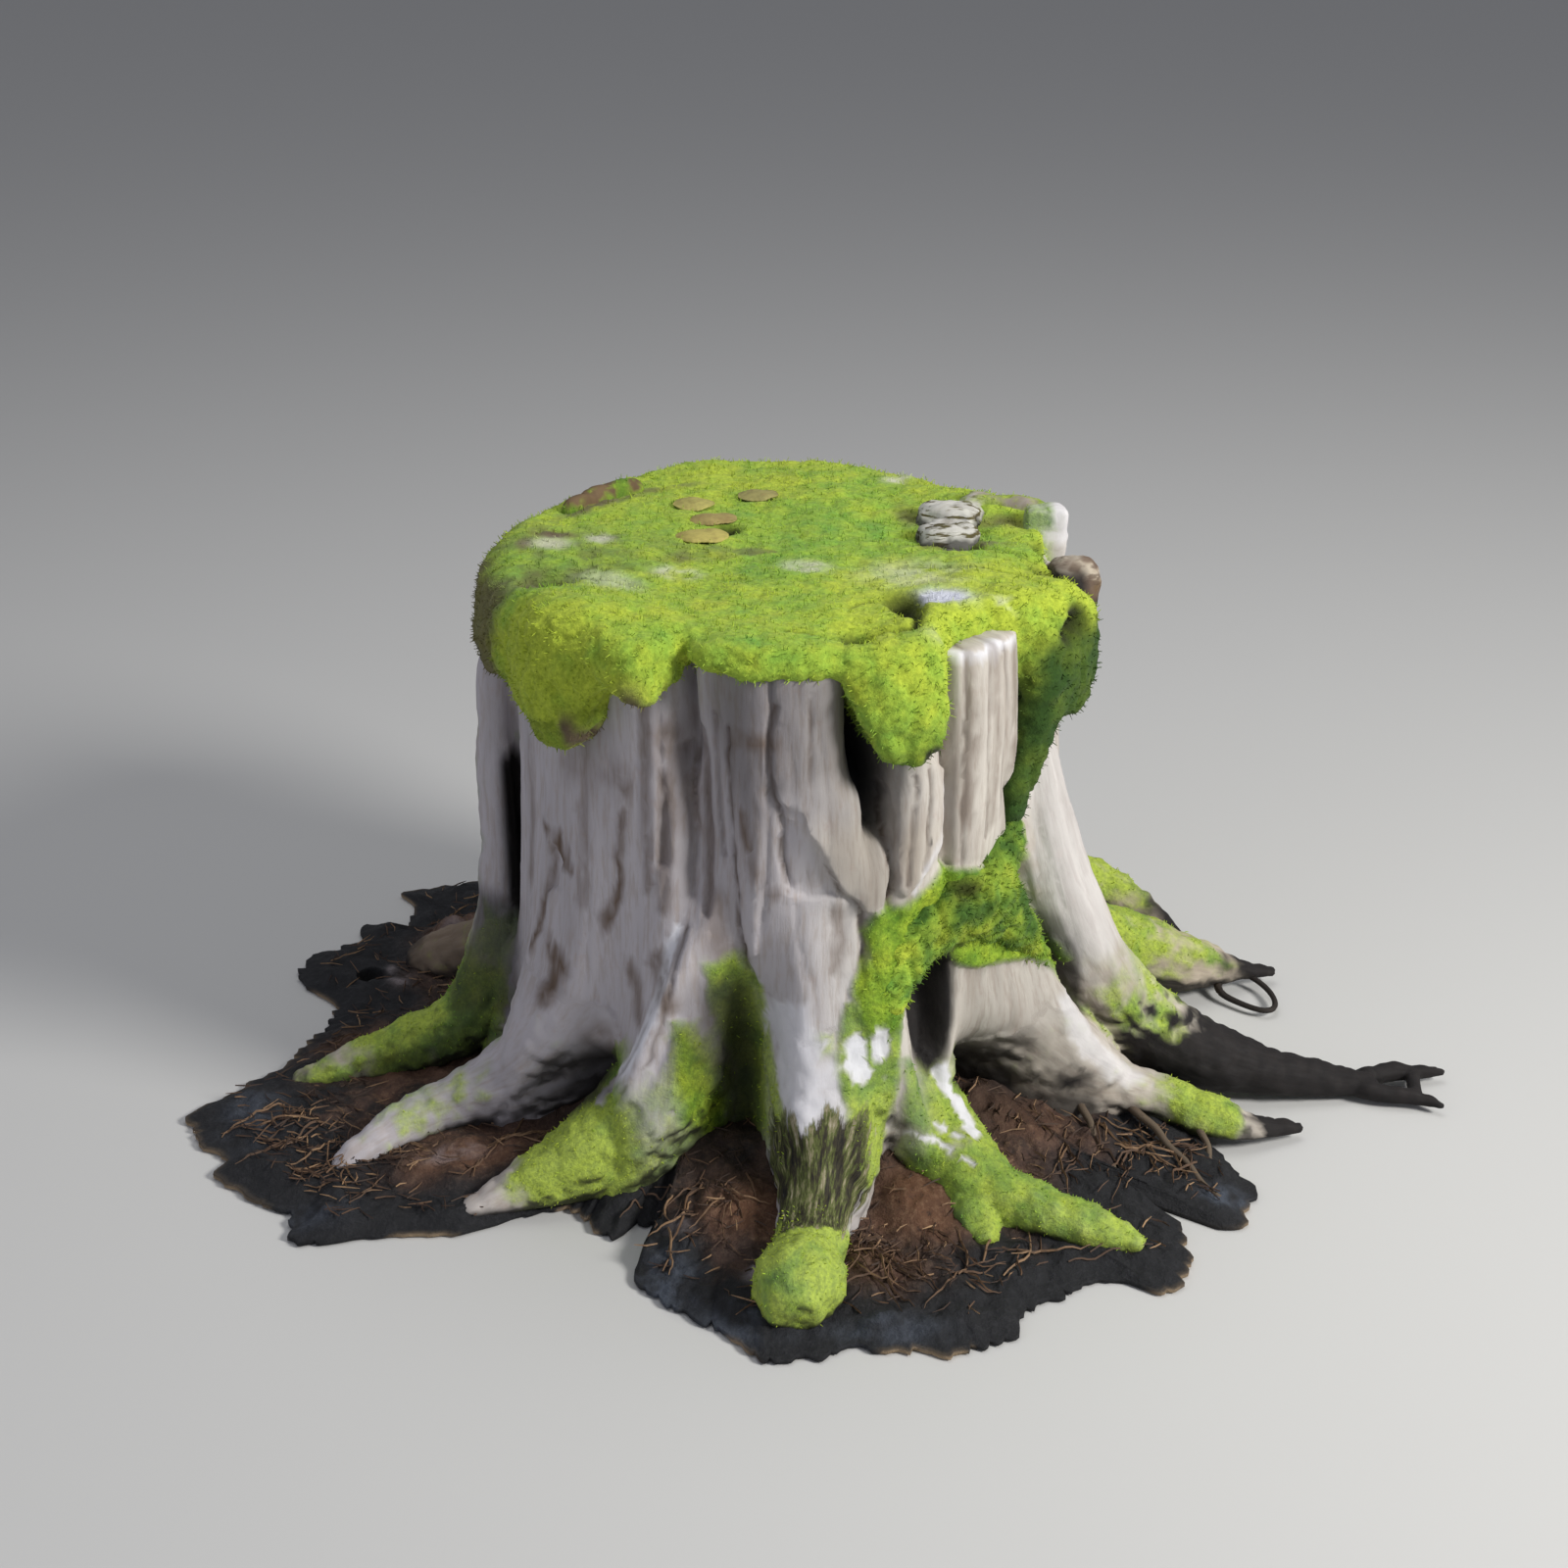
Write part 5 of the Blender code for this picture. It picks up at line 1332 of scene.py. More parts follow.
    # Painted shade: the left side, turned away from the key light, is tinted lilac-grey
    shaded_side_lilac = ease(-degrees, -22, 5) * ease(degrees, -110, -95) * (1 - buff_and_lit_side)
    earth_and_shade = np.where(strand, np.maximum(0.45, ease(points[:, 0], 0.44, 0.46) * 0.95), earth_and_shade)
    paint(wood, "grain", grain)
    paint(wood, "split", np.where(strand, 0, np.clip(split, 0, 1)))
    paint(wood, "stain", np.where(strand, 0.2, np.clip(stain, 0, 1)))
    paint(wood, "bleached", np.where(strand, 0, np.clip(bleached, 0, 1)))
    paint(wood, "hollow_shade", hollow_shade)
    paint(wood, "moss", np.where(strand, 0, dense))
    # How deep a green the moss on the wood is: random tone, and painted shade on the far left flank
    deep_green_and_shade = 0.5 - 0.28 * root_share + 0.4 * broad + 0.35 * fine
    left_flank_shade = 0.25 * ease(-degrees, 58, 70) * (degrees > -100)
    deep_green_and_shade += 0.45 * hump(degrees - 23, 4) * ease(-z, -0.15, -0.10) + left_flank_shade
    deep_green_and_shade -= 0.30 * hump(degrees + 36, 8) * ease(-z, -0.12, -0.06)
    paint(wood, "deep_green_and_shade", np.clip(deep_green_and_shade, 0, 1))
    paint(wood, "earth_and_shade", np.clip(earth_and_shade, 0, 1))
    paint(wood, "buff_and_lit_side", np.where(strand, 1, np.clip(buff_and_lit_side, 0, 1)))
    paint(wood, "bark", np.clip(np.where(strand, 0.75, bark), 0, 1))
    paint(wood, "shaded_side_lilac", shaded_side_lilac)
    paint(wood, "painted_shade", painted_shade)
    paint(wood, "layered", np.maximum(slabs, 0.7 * knob))
    paint(wood, "streaky", np.where(strand, 0, streaks))


def wood_material():
    m = Mixer("weathered wood")
    grain = m.attribute("grain", vector=True)
    broad = m.noise(38.0, 3.0, 0.55, grain)
    fibre = m.noise(230.0, 4.0, 0.6, grain)
    spot = m.noise(70.0, 4.0, 0.6)
    greys = ((0.30, (0.36, 0.33, 0.305)), (0.46, (0.50, 0.475, 0.45)), (0.66, (0.61, 0.585, 0.55)))
    base = m.ramp(broad, *greys)
    # Painted shade: lilac-grey for the side turned away from the key light
    shaded_side_lilac = m.mix(broad, (0.34, 0.318, 0.335), (0.56, 0.53, 0.56))
    base = m.mix(m.attribute("shaded_side_lilac"), base, shaded_side_lilac)
    # Buff: tan roots, rim pieces and plates, and painted light as cream on the side facing the key
    # light
    base = m.mix(m.attribute("buff_and_lit_side"), base, m.mix(broad, (0.34, 0.27, 0.19), (0.56, 0.50, 0.40)))
    base = m.mix(m.span(fibre, 0.36, 0.52, 0.42, 0.0), base, (0.33, 0.27, 0.23))
    base = m.mix(m.span(spot, 0.60, 0.75, 0.0, 0.35), base, (0.42, 0.32, 0.28))
    # Painted shade: the wood is multiplied darker under the cap and low on the right-hand roots
    base = m.mix(m.attribute("painted_shade"), base, m.mix(1.0, base, (0.52, 0.51, 0.50), "MULTIPLY"))
    bark = m.mix(broad, (0.045, 0.026, 0.014), (0.22, 0.145, 0.075))
    base = m.mix(m.attribute("bark"), base, bark)
    lichen = m.mix(spot, (0.62, 0.62, 0.67), (0.80, 0.80, 0.84))
    base = m.mix(m.attribute("bleached"), base, lichen)
    layer = m.noise(1.0, 4.0, 0.6, m.stretch(m.place, (22.0, 80.0, 190.0)))
    band = m.sum("MULTIPLY", m.attribute("layered"), m.span(layer, 0.49, 0.41))
    base = m.mix(band, base, (0.070, 0.042, 0.026))
    brown = m.mix(fibre, (0.07, 0.045, 0.032), (0.19, 0.135, 0.10))
    base = m.mix(m.attribute("stain"), base, brown)
    base = m.mix(m.attribute("split"), base, (0.085, 0.060, 0.045))
    speck = m.noise(240.0, 4.0, 0.7)
    greens = ((0.15, (0.37, 0.49, 0.034)), (0.55, (0.23, 0.37, 0.024)), (0.95, (0.09, 0.21, 0.014)))
    green = m.ramp(m.attribute("deep_green_and_shade"), *greens)
    green = m.mix(m.span(speck, 0.38, 0.60, 0.50, 0.0), green, (0.07, 0.12, 0.012))
    green = m.mix(m.span(speck, 0.58, 0.75, 0.0, 0.35), green, (0.50, 0.60, 0.10))
    base = m.mix(m.attribute("moss"), base, green)
    rotten = m.noise(210.0, 5.0, 0.7, grain)
    share = m.sum("ADD", m.attribute("streaky"), m.span(rotten, 0.30, 0.70, -0.35, 0.35))
    tones = (
        (0.36, (0.008, 0.008, 0.007)), (0.46, (0.036, 0.030, 0.018)),
        (0.54, (0.085, 0.105, 0.026)), (0.62, (0.24, 0.21, 0.13)), (0.72, (0.46, 0.42, 0.34)),
    )
    base = m.mix(m.span(share, 0.38, 0.62), base, m.ramp(rotten, *tones))
    # Near black for the earth mask: mostly painted shade, partly dark soil and rotten wood
    soil_and_shade = m.mix(spot, (0.005, 0.005, 0.006), (0.022, 0.018, 0.017))
    base = m.mix(m.attribute("earth_and_shade"), base, soil_and_shade)
    # Painted shade: near black inside the hollow
    base = m.mix(m.attribute("hollow_shade"), base, (0.006, 0.008, 0.012))
    bump = m.bump(fibre, 0.30, 0.0016)
    bump = m.bump(m.sum("MULTIPLY", speck, m.attribute("moss")), 0.6, 0.003, bump)
    bump = m.bump(m.noise(330.0, 3.0), 0.15, 0.001, bump)
    m.shader.inputs["Specular IOR Level"].default_value = 0.3
    return m.finish(base, m.span(fibre, 0.3, 0.7, 0.9, 0.72), bump)


# The moss cap


def cap_top(x, y):
    """Height of the cap's top: a plane with a bell for each swelling or dip, and a low wave."""
    z = np.full(np.shape(x), CAP_TOP)
    for cx, cy, spread, height in CAP_SWELLINGS:
        z = z + height * np.exp(-((x - cx) ** 2 + (y - cy) ** 2) / spread**2)
    return z + 0.002 * np.sin(31 * x + 17 * y) * np.sin(23 * y - 13 * x + 1)


def soft_column(table, degrees, column):
    """A column of a table that starts with the angle, averaged over a degree so that it has no
    corners."""
    table = np.array(table)
    total = 0
    for shift, weight in ((-1.0, 0.25), (0.0, 0.5), (1.0, 0.25)):
        at = (degrees + shift + 180) % 360 - 180
        total = total + weight * np.interp(at, table[:, 0], table[:, column])
    return total


def cap_shell():
    """Rings from the middle of the top, out over a rounded edge, down to the hem and back in."""
    degrees = np.arange(-180, 180, 0.75)
    hem = soft_column(CAP_HEM, degrees, 1)
    out = soft_column(CAP_HEM, degrees, 2)
    rows = []
    for share in np.linspace(0.02, 0.90, 34):
        spot = polar_point(degrees, out * share, 0 * degrees)
        spot[:, 2] = cap_top(spot[:, 0], spot[:, 1])
        rows.append(spot)
    edge = polar_point(degrees, out * 0.93, 0 * degrees)
    top = cap_top(edge[:, 0], edge[:, 1])
    round_by = np.minimum(CAP_EDGE_ROUNDING, (top - hem) * 0.45)
    for angle in np.radians(np.linspace(5, 85, 9)):
        radius = out - round_by * (1 - math.sin(angle))
        rows.append(polar_point(degrees, radius, top - round_by * (1 - math.cos(angle))))
    for share in np.linspace(0.0, 1.0, 12):
        swell = 0.003 * math.sin(math.pi * share)
        drop = share * (hem + 0.3 * round_by - top + round_by)
        rows.append(polar_point(degrees, out + swell, top - round_by + drop))
    for angle in np.radians(np.linspace(20, 90, 5)):
        pull = 0.016 * (1 - math.cos(angle))
        rows.append(polar_point(degrees, out - pull, hem + 0.3 * round_by * (1 - math.sin(angle))))
    rows.append(polar_point(degrees, 0.19 + 0 * degrees, np.minimum(hem + 0.01, 0.50)))
    return skin(np.array(rows)[::-1])


def spots(points, table):
    """The strongest of some soft-edged ellipses on the plan: x, y, half sizes, turn, strength."""
    best = np.zeros(len(points))
    for x, y, half_x, half_y, turn, strength in table:
        c, s = math.cos(math.radians(turn)), math.sin(math.radians(turn))
        u = (c * (points[:, 0] - x) + s * (points[:, 1] - y)) / half_x
        v = (-s * (points[:, 0] - x) + c * (points[:, 1] - y)) / half_y
        best = np.maximum(best, strength * np.exp(-((u * u + v * v) ** 1.5)))
    return best


def moss_relief(points):
    """Soft mounds, cushions of two sizes, and the tips of the sprigs."""
    height = 0.0034 * cloud(points, 0.042, 31)
    height += 0.0050 * (cushions(points, 0.022, 32) - 0.55)
    height += 0.0026 * (cushions(points, 0.0095, 33) - 0.55)
    height -= 0.0030 * creases(points, 0.034, 35, 0.14)
    return height + 0.0011 * cloud(points, 0.0045, 34)


def pit_gap(points, x, y, z):
    """Distance from a pit's mouth, counting the way into the pit for a quarter of its length."""
    inwards = np.array([0.0, 0.0, 1.0])
    if z <= 0.53:
        inwards = np.array([x, y, 0.0]) / math.hypot(x, y)
    off = points - (x, y, z)
    return np.linalg.norm(off - 0.75 * (off @ inwards)[:, None] * inwards, axis=1)


def build_cap():
    parts = [cap_shell(), rod(from_polar(CAP_STRIP), around=20, along=60)]
    cap = new_object("moss_cushion", *join(parts))
    grow_together(cap, CAP_VOXEL, SOFTENING_STEPS)
    points, normal = places(cap), normals(cap)
    level = ease(normal[:, 2], 0.3, 0.9)
    on_top = ease(points[:, 2], 0.498, 0.508)
    height = moss_relief(points) * (1 - 0.40 * level)
    for x, y, z, radius, depth in CAP_PITS:
        height -= depth * hump(pit_gap(points, x, y, z), radius, 3)
    for width, depth, line in CAP_CREASES:
        gap = line_distance(points[:, :2], line)
        height -= depth * on_top * np.exp(-((gap / width) ** 2))
    height -= 0.004 * spots(points, CAP_BARE) * level
    move_to(cap, points + normal * height[:, None])
    thin(cap, CAP_TRIANGLES)
    colour_cap(cap)
    material = moss_material("cap moss")
    add_sprigs(cap, "cap_sprigs", CAP_SPRIGS, material, "cap_moss", 21)
    return put_in_place(cap, material, "cap_moss", "moss_cap")


def colour_cap(cap):
    """Masks for the moss's material, each a field of the place."""
    points = places(cap)
    degrees = angle_of(points)
    z = points[:, 2]
    level = ease(normals(cap)[:, 2], 0.4, 0.9)
    broad = clouds(points, 0.09, 41)
    fine = clouds(points, 0.022, 42)
    green = 0.26 + 0.24 * broad + 0.16 * fine
    x, y = points[:, 0], points[:, 1]
    green += 0.45 * level * np.exp(-((x - 0.05) ** 2 + (y - 0.03) ** 2) / 0.09**2)
    green += 0.4 * np.exp(-((x + 0.20) ** 2 + (y + 0.08) ** 2) / 0.035**2)
    green -= 0.40 * hump(degrees + 44, 16) * ease(-z, -0.52, -0.49)
    green += 0.14 * level * ease(-points[:, 0], 0.04, 0.12)
    green += 0.30 * hump(degrees - 24, 16) * ease(-z, -0.53, -0.49)
    # Painted shade: the moss is darker on the skirt below the rim at the right and back, and on the
    # low sides of the lobes
    dark = ease(degrees + 60 * (0.47 - z), 50, 57) * ease(-degrees, -105, -92)
    dark = dark * ease(-z, -0.520, -0.488)
    dark = dark * (0.95 + 0.10 * np.clip(fine, -1, 0.5))
    dark = np.maximum(dark, 0.45 * ease(-z, -0.485, -0.450) * ease(fine, -0.9, 0.2))
    brown = 0.85 * ease(-degrees, 59, 68) * ease(degrees, -112, -98)
    brown = brown * ease(-z + 0.010 * fine, -0.548, -0.518)
    hem = hump(degrees + 25.2, 2.2) * ease(-z, -0.520, -0.485)
    brown = np.maximum(brown, np.maximum(hem, hump(degrees + 38.3, 1.6) * ease(-z, -0.475, -0.455)))
    brown = np.maximum(brown, spots(points, CAP_BROWN) * level * ease(fine, -1.0, 0.1))
    pale = spots(points, CAP_PALE) * level * ease(fine, -0.9, 0.2)
    knot = spots(points, CAP_KNOT) * level
    brown = np.clip(np.maximum(brown, 0.5 * knot), 0, 1)
    pale = np.maximum(pale, 0.7 * knot)
    # Painted shade: near black in the pits and along the creases of the cap
    pit_and_crease_shade = np.zeros(len(points))
    for *place, radius, _ in CAP_PITS:
        pit_and_crease_shade = np.maximum(pit_and_crease_shade, hump(pit_gap(points, *place), radius * 1.35, 4))
    for width, depth, line in CAP_CREASES:
        gap = line_distance(points[:, :2], line)
        shade = min(1.0, depth * 150) * ease(z, 0.496, 0.506)
        pit_and_crease_shade = np.maximum(pit_and_crease_shade, shade * np.exp(-((gap / width) ** 2)))
    paint(cap, "green", np.clip(green, 0, 1))
    paint(cap, "dark", np.clip(dark, 0, 1))
    paint(cap, "brown", np.clip(brown, 0, 1))
    paint(cap, "pale", np.clip(pale, 0, 1))
    paint(cap, "bare", np.clip(spots(points, CAP_BARE) * 1.4 * level, 0, 1))
    paint(cap, "pit_shade", np.clip(pit_and_crease_shade, 0, 1))


def moss_material(name):
    m = Mixer(name)
    speck = m.noise(240.0, 4.0, 0.7)
    lobe = m.noise(38.0, 4.0, 0.6)
    share = m.sum("ADD", m.attribute("green"), m.span(lobe, 0.35, 0.75, -0.25, 0.35))
    greens = ((0.05, (0.44, 0.54, 0.050)), (0.45, (0.32, 0.48, 0.052)), (0.95, (0.17, 0.38, 0.055)))
    base = m.ramp(share, *greens)
    base = m.mix(m.span(speck, 0.40, 0.60, 0.42, 0.0), base, (0.12, 0.18, 0.014))
    base = m.mix(m.span(speck, 0.60, 0.78, 0.0, 0.45), base, (0.56, 0.60, 0.09))
    shade = m.mix(speck, (0.010, 0.026, 0.005), (0.048, 0.110, 0.018))
    base = m.mix(m.attribute("dark"), base, shade)
    base = m.mix(m.attribute("brown"), base, m.mix(lobe, (0.045, 0.032, 0.018), (0.20, 0.15, 0.09)))
    base = m.mix(m.attribute("pale"), base, (0.62, 0.62, 0.48))
    base = m.mix(m.attribute("bare"), base, (0.60, 0.62, 0.70))
    # Painted shade: near black in pits, creases and holes
    base = m.mix(m.attribute("pit_shade"), base, (0.018, 0.022, 0.006))
    bump = m.bump(speck, 0.55, 0.003)
    bump = m.bump(m.noise(700.0, 2.0), 0.25, 0.001, bump)
    m.shader.inputs["Sheen Weight"].default_value = 0.05
    m.shader.inputs["Specular IOR Level"].default_value = 0.2
    return m.finish(base, 0.92, bump)


def add_sprigs(source, name, number, material, slot, seed, wanted=None, size=1.0):
    """Short tapered shoots stuck in the moss along its normals, leaning at random. Each takes the
    colours of the spot where it grows. They grow most where wanted is high."""
    chance = np.random.default_rng(seed)
    points, normal = places(source), normals(source)
    share = np.ones(len(points)) if wanted is None else wanted.astype(np.float64)
    pick = chance.choice(len(points), number, p=share / share.sum())
    way = normal[pick] + chance.normal(0, 0.55, (number, 3))
    way /= np.linalg.norm(way, axis=1)[:, None]
    length = size * chance.uniform(0.0025, 0.0060, number)[:, None]
    foot = points[pick] - 0.0008 * normal[pick] + chance.normal(0, 0.0006, (number, 3))
    spine = np.stack([foot, foot + length * way], axis=1)
    tufts, faces = slivers(spine, chance.uniform(0.0005, 0.0009, number))
    sprigs = new_object(name, tufts, faces, smooth=False)
    for layer in list(source.data.attributes):
        if layer.domain == "POINT" and layer.data_type == "FLOAT":
            values = painted(source, layer.name)
            name_there = "green" if layer.name == "deep_green_and_shade" else layer.name
            paint(sprigs, name_there, np.repeat(values[pick], 6))
    return put_in_place(sprigs, material, slot)


# The moss in the crook


def build_crook():
    parts = [rod(from_polar(path), around=24, along=80) for path in CROOK_PATHS]
    crook = new_object("crook_cushion", *join(parts))
    grow_together(crook, CROOK_VOXEL, SOFTENING_STEPS)
    points, normal = places(crook), normals(crook)
    height = 1.3 * moss_relief(points) - 0.003 * creases(points, 0.026, 55, 0.25)
    move_to(crook, points + normal * height[:, None])
    thin(crook, CROOK_TRIANGLES)
    points = places(crook)
    fine = clouds(points, 0.02, 52)
    degrees = angle_of(points)
    # Painted shade: near black in the crook's two holes
    hole = 0.9 * hump(degrees - 36, 3) * hump(points[:, 2] - 0.300, 0.009)
    low_hole = ease(-points[:, 2], -0.252, -0.238) * ease(degrees, 26, 30)
    hole = np.maximum(hole, 0.9 * hump(degrees - 34, 4) * low_hole)
    # Painted shade: the crook's moss under the cap is darker, in random patches, less so at its low
    # tail
    dark = 0.34 + 0.5 * ease(fine, -0.3, 0.7) - 0.5 * ease(-degrees, -28, -22)
    paint(crook, "green", np.clip(0.55 + 0.5 * fine, 0, 1))
    paint(crook, "dark", np.clip(dark, 0, 1))
    for name in ("brown", "pale", "bare"):
        paint(crook, name, 0 * fine)
    paint(crook, "pit_shade", np.clip(hole, 0, 1))
    material = moss_material("crook moss")
    add_sprigs(crook, "crook_sprigs", CROOK_SPRIGS, material, "crook_moss", 22)
    return put_in_place(crook, material, "crook_moss", "moss_crook")


# The litter


def outline_radius(degrees):
    """Where each direction from the axis crosses the outline last."""
    first = np.array(MAT_OUTLINE)
    second = np.roll(first, -1, axis=0)
    way = polar_point(degrees, 1.0, 0.0)[:, :2]
    side = way[:, 1:] * first[None, :, 0] - way[:, :1] * first[None, :, 1]
    other = way[:, 1:] * second[None, :, 0] - way[:, :1] * second[None, :, 1]
    share = side / (side - other + 1e-12)
    crossing = first[None] + share[..., None] * (second - first)[None]
    reach = (crossing * way[:, None]).sum(-1)
    return np.where(side * other <= 0, reach, -1).max(axis=1)


def ragged_radius(degrees):
    """The outline with torn notches: noise of three sizes taken off it, and a little added."""
    at = polar_point(degrees, 1.0, 0.0)
    torn = 0.010 * np.maximum(0, cloud(at, 0.06, 61)) + 0.009 * creases(at, 0.030, 62, 0.35)
    torn = torn + 0.004 * cloud(at, 0.012, 63) - 0.003
    return outline_radius(degrees) - torn


def mat_height(points, share):
    """A mound round the trunk and lesser ones, clods and crumbs, and a thin edge."""
    radius = np.hypot(points[:, 0], points[:, 1])
    mound = MOUND_HEIGHT * np.exp(-np.maximum(radius - MOUND_RADIUS, 0.0) / MOUND_FALL)
    for x, y, spread, height in LITTER_MOUNDS:
        away = (points[:, 0] - x) ** 2 + (points[:, 1] - y) ** 2
        mound = mound + height * np.exp(-away / spread**2)
    flat = np.stack([points[:, 0], points[:, 1], 0 * radius], axis=-1)
    clods = 0.007 * np.abs(cloud(flat, 0.050, 64)) + 0.006 * cushions(flat, 0.026, 65) ** 2
    clods = clods + 0.0030 * cushions(flat, 0.010, 66) ** 2 + 0.0016 * cloud(flat, 0.006, 67)
    inside = np.clip((1 - share) / 0.2, 0, 1)
    return MAT_EDGE + (MAT_TOP - MAT_EDGE + mound) * inside + clods * ease(share, 1.0, 0.93)


def build_mat():
    degrees = np.arange(0, 360, 0.5)
    reach = ragged_radius(degrees)
    rows = [polar_point(degrees, reach * share, 0.0) for share in (0.45, 0.8, 0.985)]
    shares = np.concatenate([1 - 0.30 * np.linspace(0, 1, 44) ** 1.3, np.linspace(0.69, 0.35, 38)])
    rows.append(polar_point(degrees, reach, 0.3 * MAT_EDGE))
    for share in shares:
        ring = polar_point(degrees, reach * share, 0.0)
        ring[:, 2] = mat_height(ring, np.full(len(ring), share))
        rows.append(ring)
    points, faces = skin(np.array(rows))
    mat = new_object("forest_litter", points, faces)
    x, y, radius = RING_HOLE
    hole = new_object("hole_cutter", *ball((x, y, 0.0), (radius, radius * 0.9, 0.2), 0))
    cutting = mat.modifiers.new("hole", "BOOLEAN")
    cutting.operation = "DIFFERENCE"
    cutting.object = hole
    bake(mat)
    bpy.data.objects.remove(hole, do_unlink=True)
    points = places(mat)
    share = edge_share(points)
    blotch = clouds(points, 0.06, 71)
    fine = clouds(points, 0.02, 72)
    radius = np.hypot(points[:, 0], points[:, 1])
    # Near black towards the litter's outer edge, and painted shadow: the stump's shadow at the back
    # left and the shade under the roots at the right
    dark_edge_and_shadow = ease(share + 0.10 * blotch + 0.05 * fine, 0.66, 0.82)
    dark_edge_and_shadow = np.maximum(dark_edge_and_shadow, ease(-points[:, 0], 0.34, 0.42) * ease(points[:, 1], -0.03, 0.07))
    dark_edge_and_shadow = np.maximum(dark_edge_and_shadow, ease(points[:, 0], 0.20, 0.27) * ease(-points[:, 1], 0.18, 0.24))
    dark_edge_and_shadow = np.maximum(dark_edge_and_shadow, ease(points[:, 0], 0.27, 0.32) * ease(-points[:, 1], 0.05, 0.10))
    stone = spots(points, STONES)
    bluish = spots(points, BLUISH_PLACES) * ease(fine, -0.6, 0.5)
    ruddy = spots(points, RUDDY_PLACES)
    paint(mat, "dark_edge_and_shadow", np.clip(dark_edge_and_shadow * (1 - ruddy), 0, 1))
    rim = ease(share, 0.980, 0.998) * ease(-points[:, 2], -0.007, -0.003) * ease(blotch, -0.1, 0.4)
    paint(mat, "rim", rim)
    # Painted shade: the litter is darker close round the trunk's foot
    paint(mat, "painted_shade", np.clip(ease(-radius, -TRUNK_RADIUS - 0.07, -TRUNK_RADIUS - 0.01), 0, 1))
    paint(mat, "stone", np.clip(stone * ease(fine, -0.8, 0.2), 0, 1))
    paint(mat, "bluish", np.clip(bluish, 0, 1))
    paint(mat, "ruddy", np.clip(ruddy, 0, 1))
    return put_in_place(mat, litter_material(), "litter", "litter_mat")


def litter_material():
    m = Mixer("forest litter")
    crumb = m.noise(150.0, 5.0, 0.7)
    clod = m.noise(26.0, 4.0, 0.6)
    browns = (
        (0.35, (0.020, 0.011, 0.008)), (0.52, (0.070, 0.034, 0.022)), (0.70, (0.14, 0.075, 0.048)),
    )
    base = m.ramp(clod, *browns)
    red = m.mix(clod, (0.045, 0.018, 0.008), (0.165, 0.072, 0.032))
    base = m.mix(m.attribute("ruddy"), base, red)
    base = m.mix(m.span(crumb, 0.50, 0.70, 0.0, 0.6), base, (0.22, 0.13, 0.075))
    base = m.mix(m.span(crumb, 0.42, 0.30, 0.0, 0.8), base, (0.010, 0.007, 0.006))
    grit = m.span(crumb, 0.50, 0.80, 0.0, 0.6)
    # Near black for the outer edge, and for the painted shadow of the stump and the roots
    edge = m.mix(grit, (0.004, 0.0045, 0.0065), (0.030, 0.030, 0.036))
    base = m.mix(m.attribute("dark_edge_and_shadow"), base, edge)
    blue = m.mix(crumb, (0.010, 0.014, 0.022), (0.15, 0.18, 0.24))
    base = m.mix(m.attribute("bluish"), base, blue)
    # Painted shade: the litter is darker close round the trunk's foot
    base = m.mix(m.sum("MULTIPLY", m.attribute("painted_shade"), 0.6), base, (0.010, 0.008, 0.007))
    base = m.mix(m.attribute("stone"), base, m.mix(crumb, (0.16, 0.12, 0.12), (0.40, 0.36, 0.38)))
    base = m.mix(m.attribute("rim"), base, (0.36, 0.26, 0.16))
    bump = m.bump(crumb, 0.8, 0.004)
    return m.finish(base, 0.82, bump)


def edge_share(points):
    """How far out each point lies, as a share of the way to the mat's edge."""
    degrees = angle_of(points) % 360
    table = np.arange(0, 360, 0.5)
    edge = np.interp(degrees, table, ragged_radius(table), period=360)
    return np.hypot(points[:, 0], points[:, 1]) / edge


def lie_on_mat(points):
    """Height of the litter's top under each point."""
    return mat_height(points, edge_share(points))


def slivers(spine, thick, sides=3):
    """Tapered strands: a small ring at each point of each spine (strands, rings, 3), closed at
    both ends."""
    count, rings = spine.shape[:2]
    way = np.gradient(spine, axis=1)
    way /= np.linalg.norm(way, axis=2)[..., None] + 1e-12
    side = np.cross(way, (0.0, 0.0, 1.0))
    side /= np.linalg.norm(side, axis=2)[..., None] + 1e-9
    up = np.cross(side, way)
    taper = 1 - 0.65 * np.abs(np.linspace(-0.6, 1, rings)) ** 2
    turn = np.radians(90 + 360 * np.arange(sides) / sides)
    ring = np.cos(turn)[:, None] * side[:, :, None] + np.sin(turn)[:, None] * up[:, :, None]
    points = spine[:, :, None] + (thick[:, None] * taper)[..., None, None] * ring
    wall = []
    for row in range(rings - 1):
        for k in range(sides):
            a, b = sides * row + k, sides * row + (k + 1) % sides
            wall += [(a, b, b + sides), (a, b + sides, a + sides)]
    last = sides * (rings - 1)
    for k in range(1, sides - 1):
        wall += [(0, k + 1, k), (last, last + k, last + k + 1)]
    wall = np.array(wall)
    faces = wall[None] + sides * rings * np.arange(count)[:, None, None]
    return points.reshape(-1, 3), faces.reshape(-1, 3)


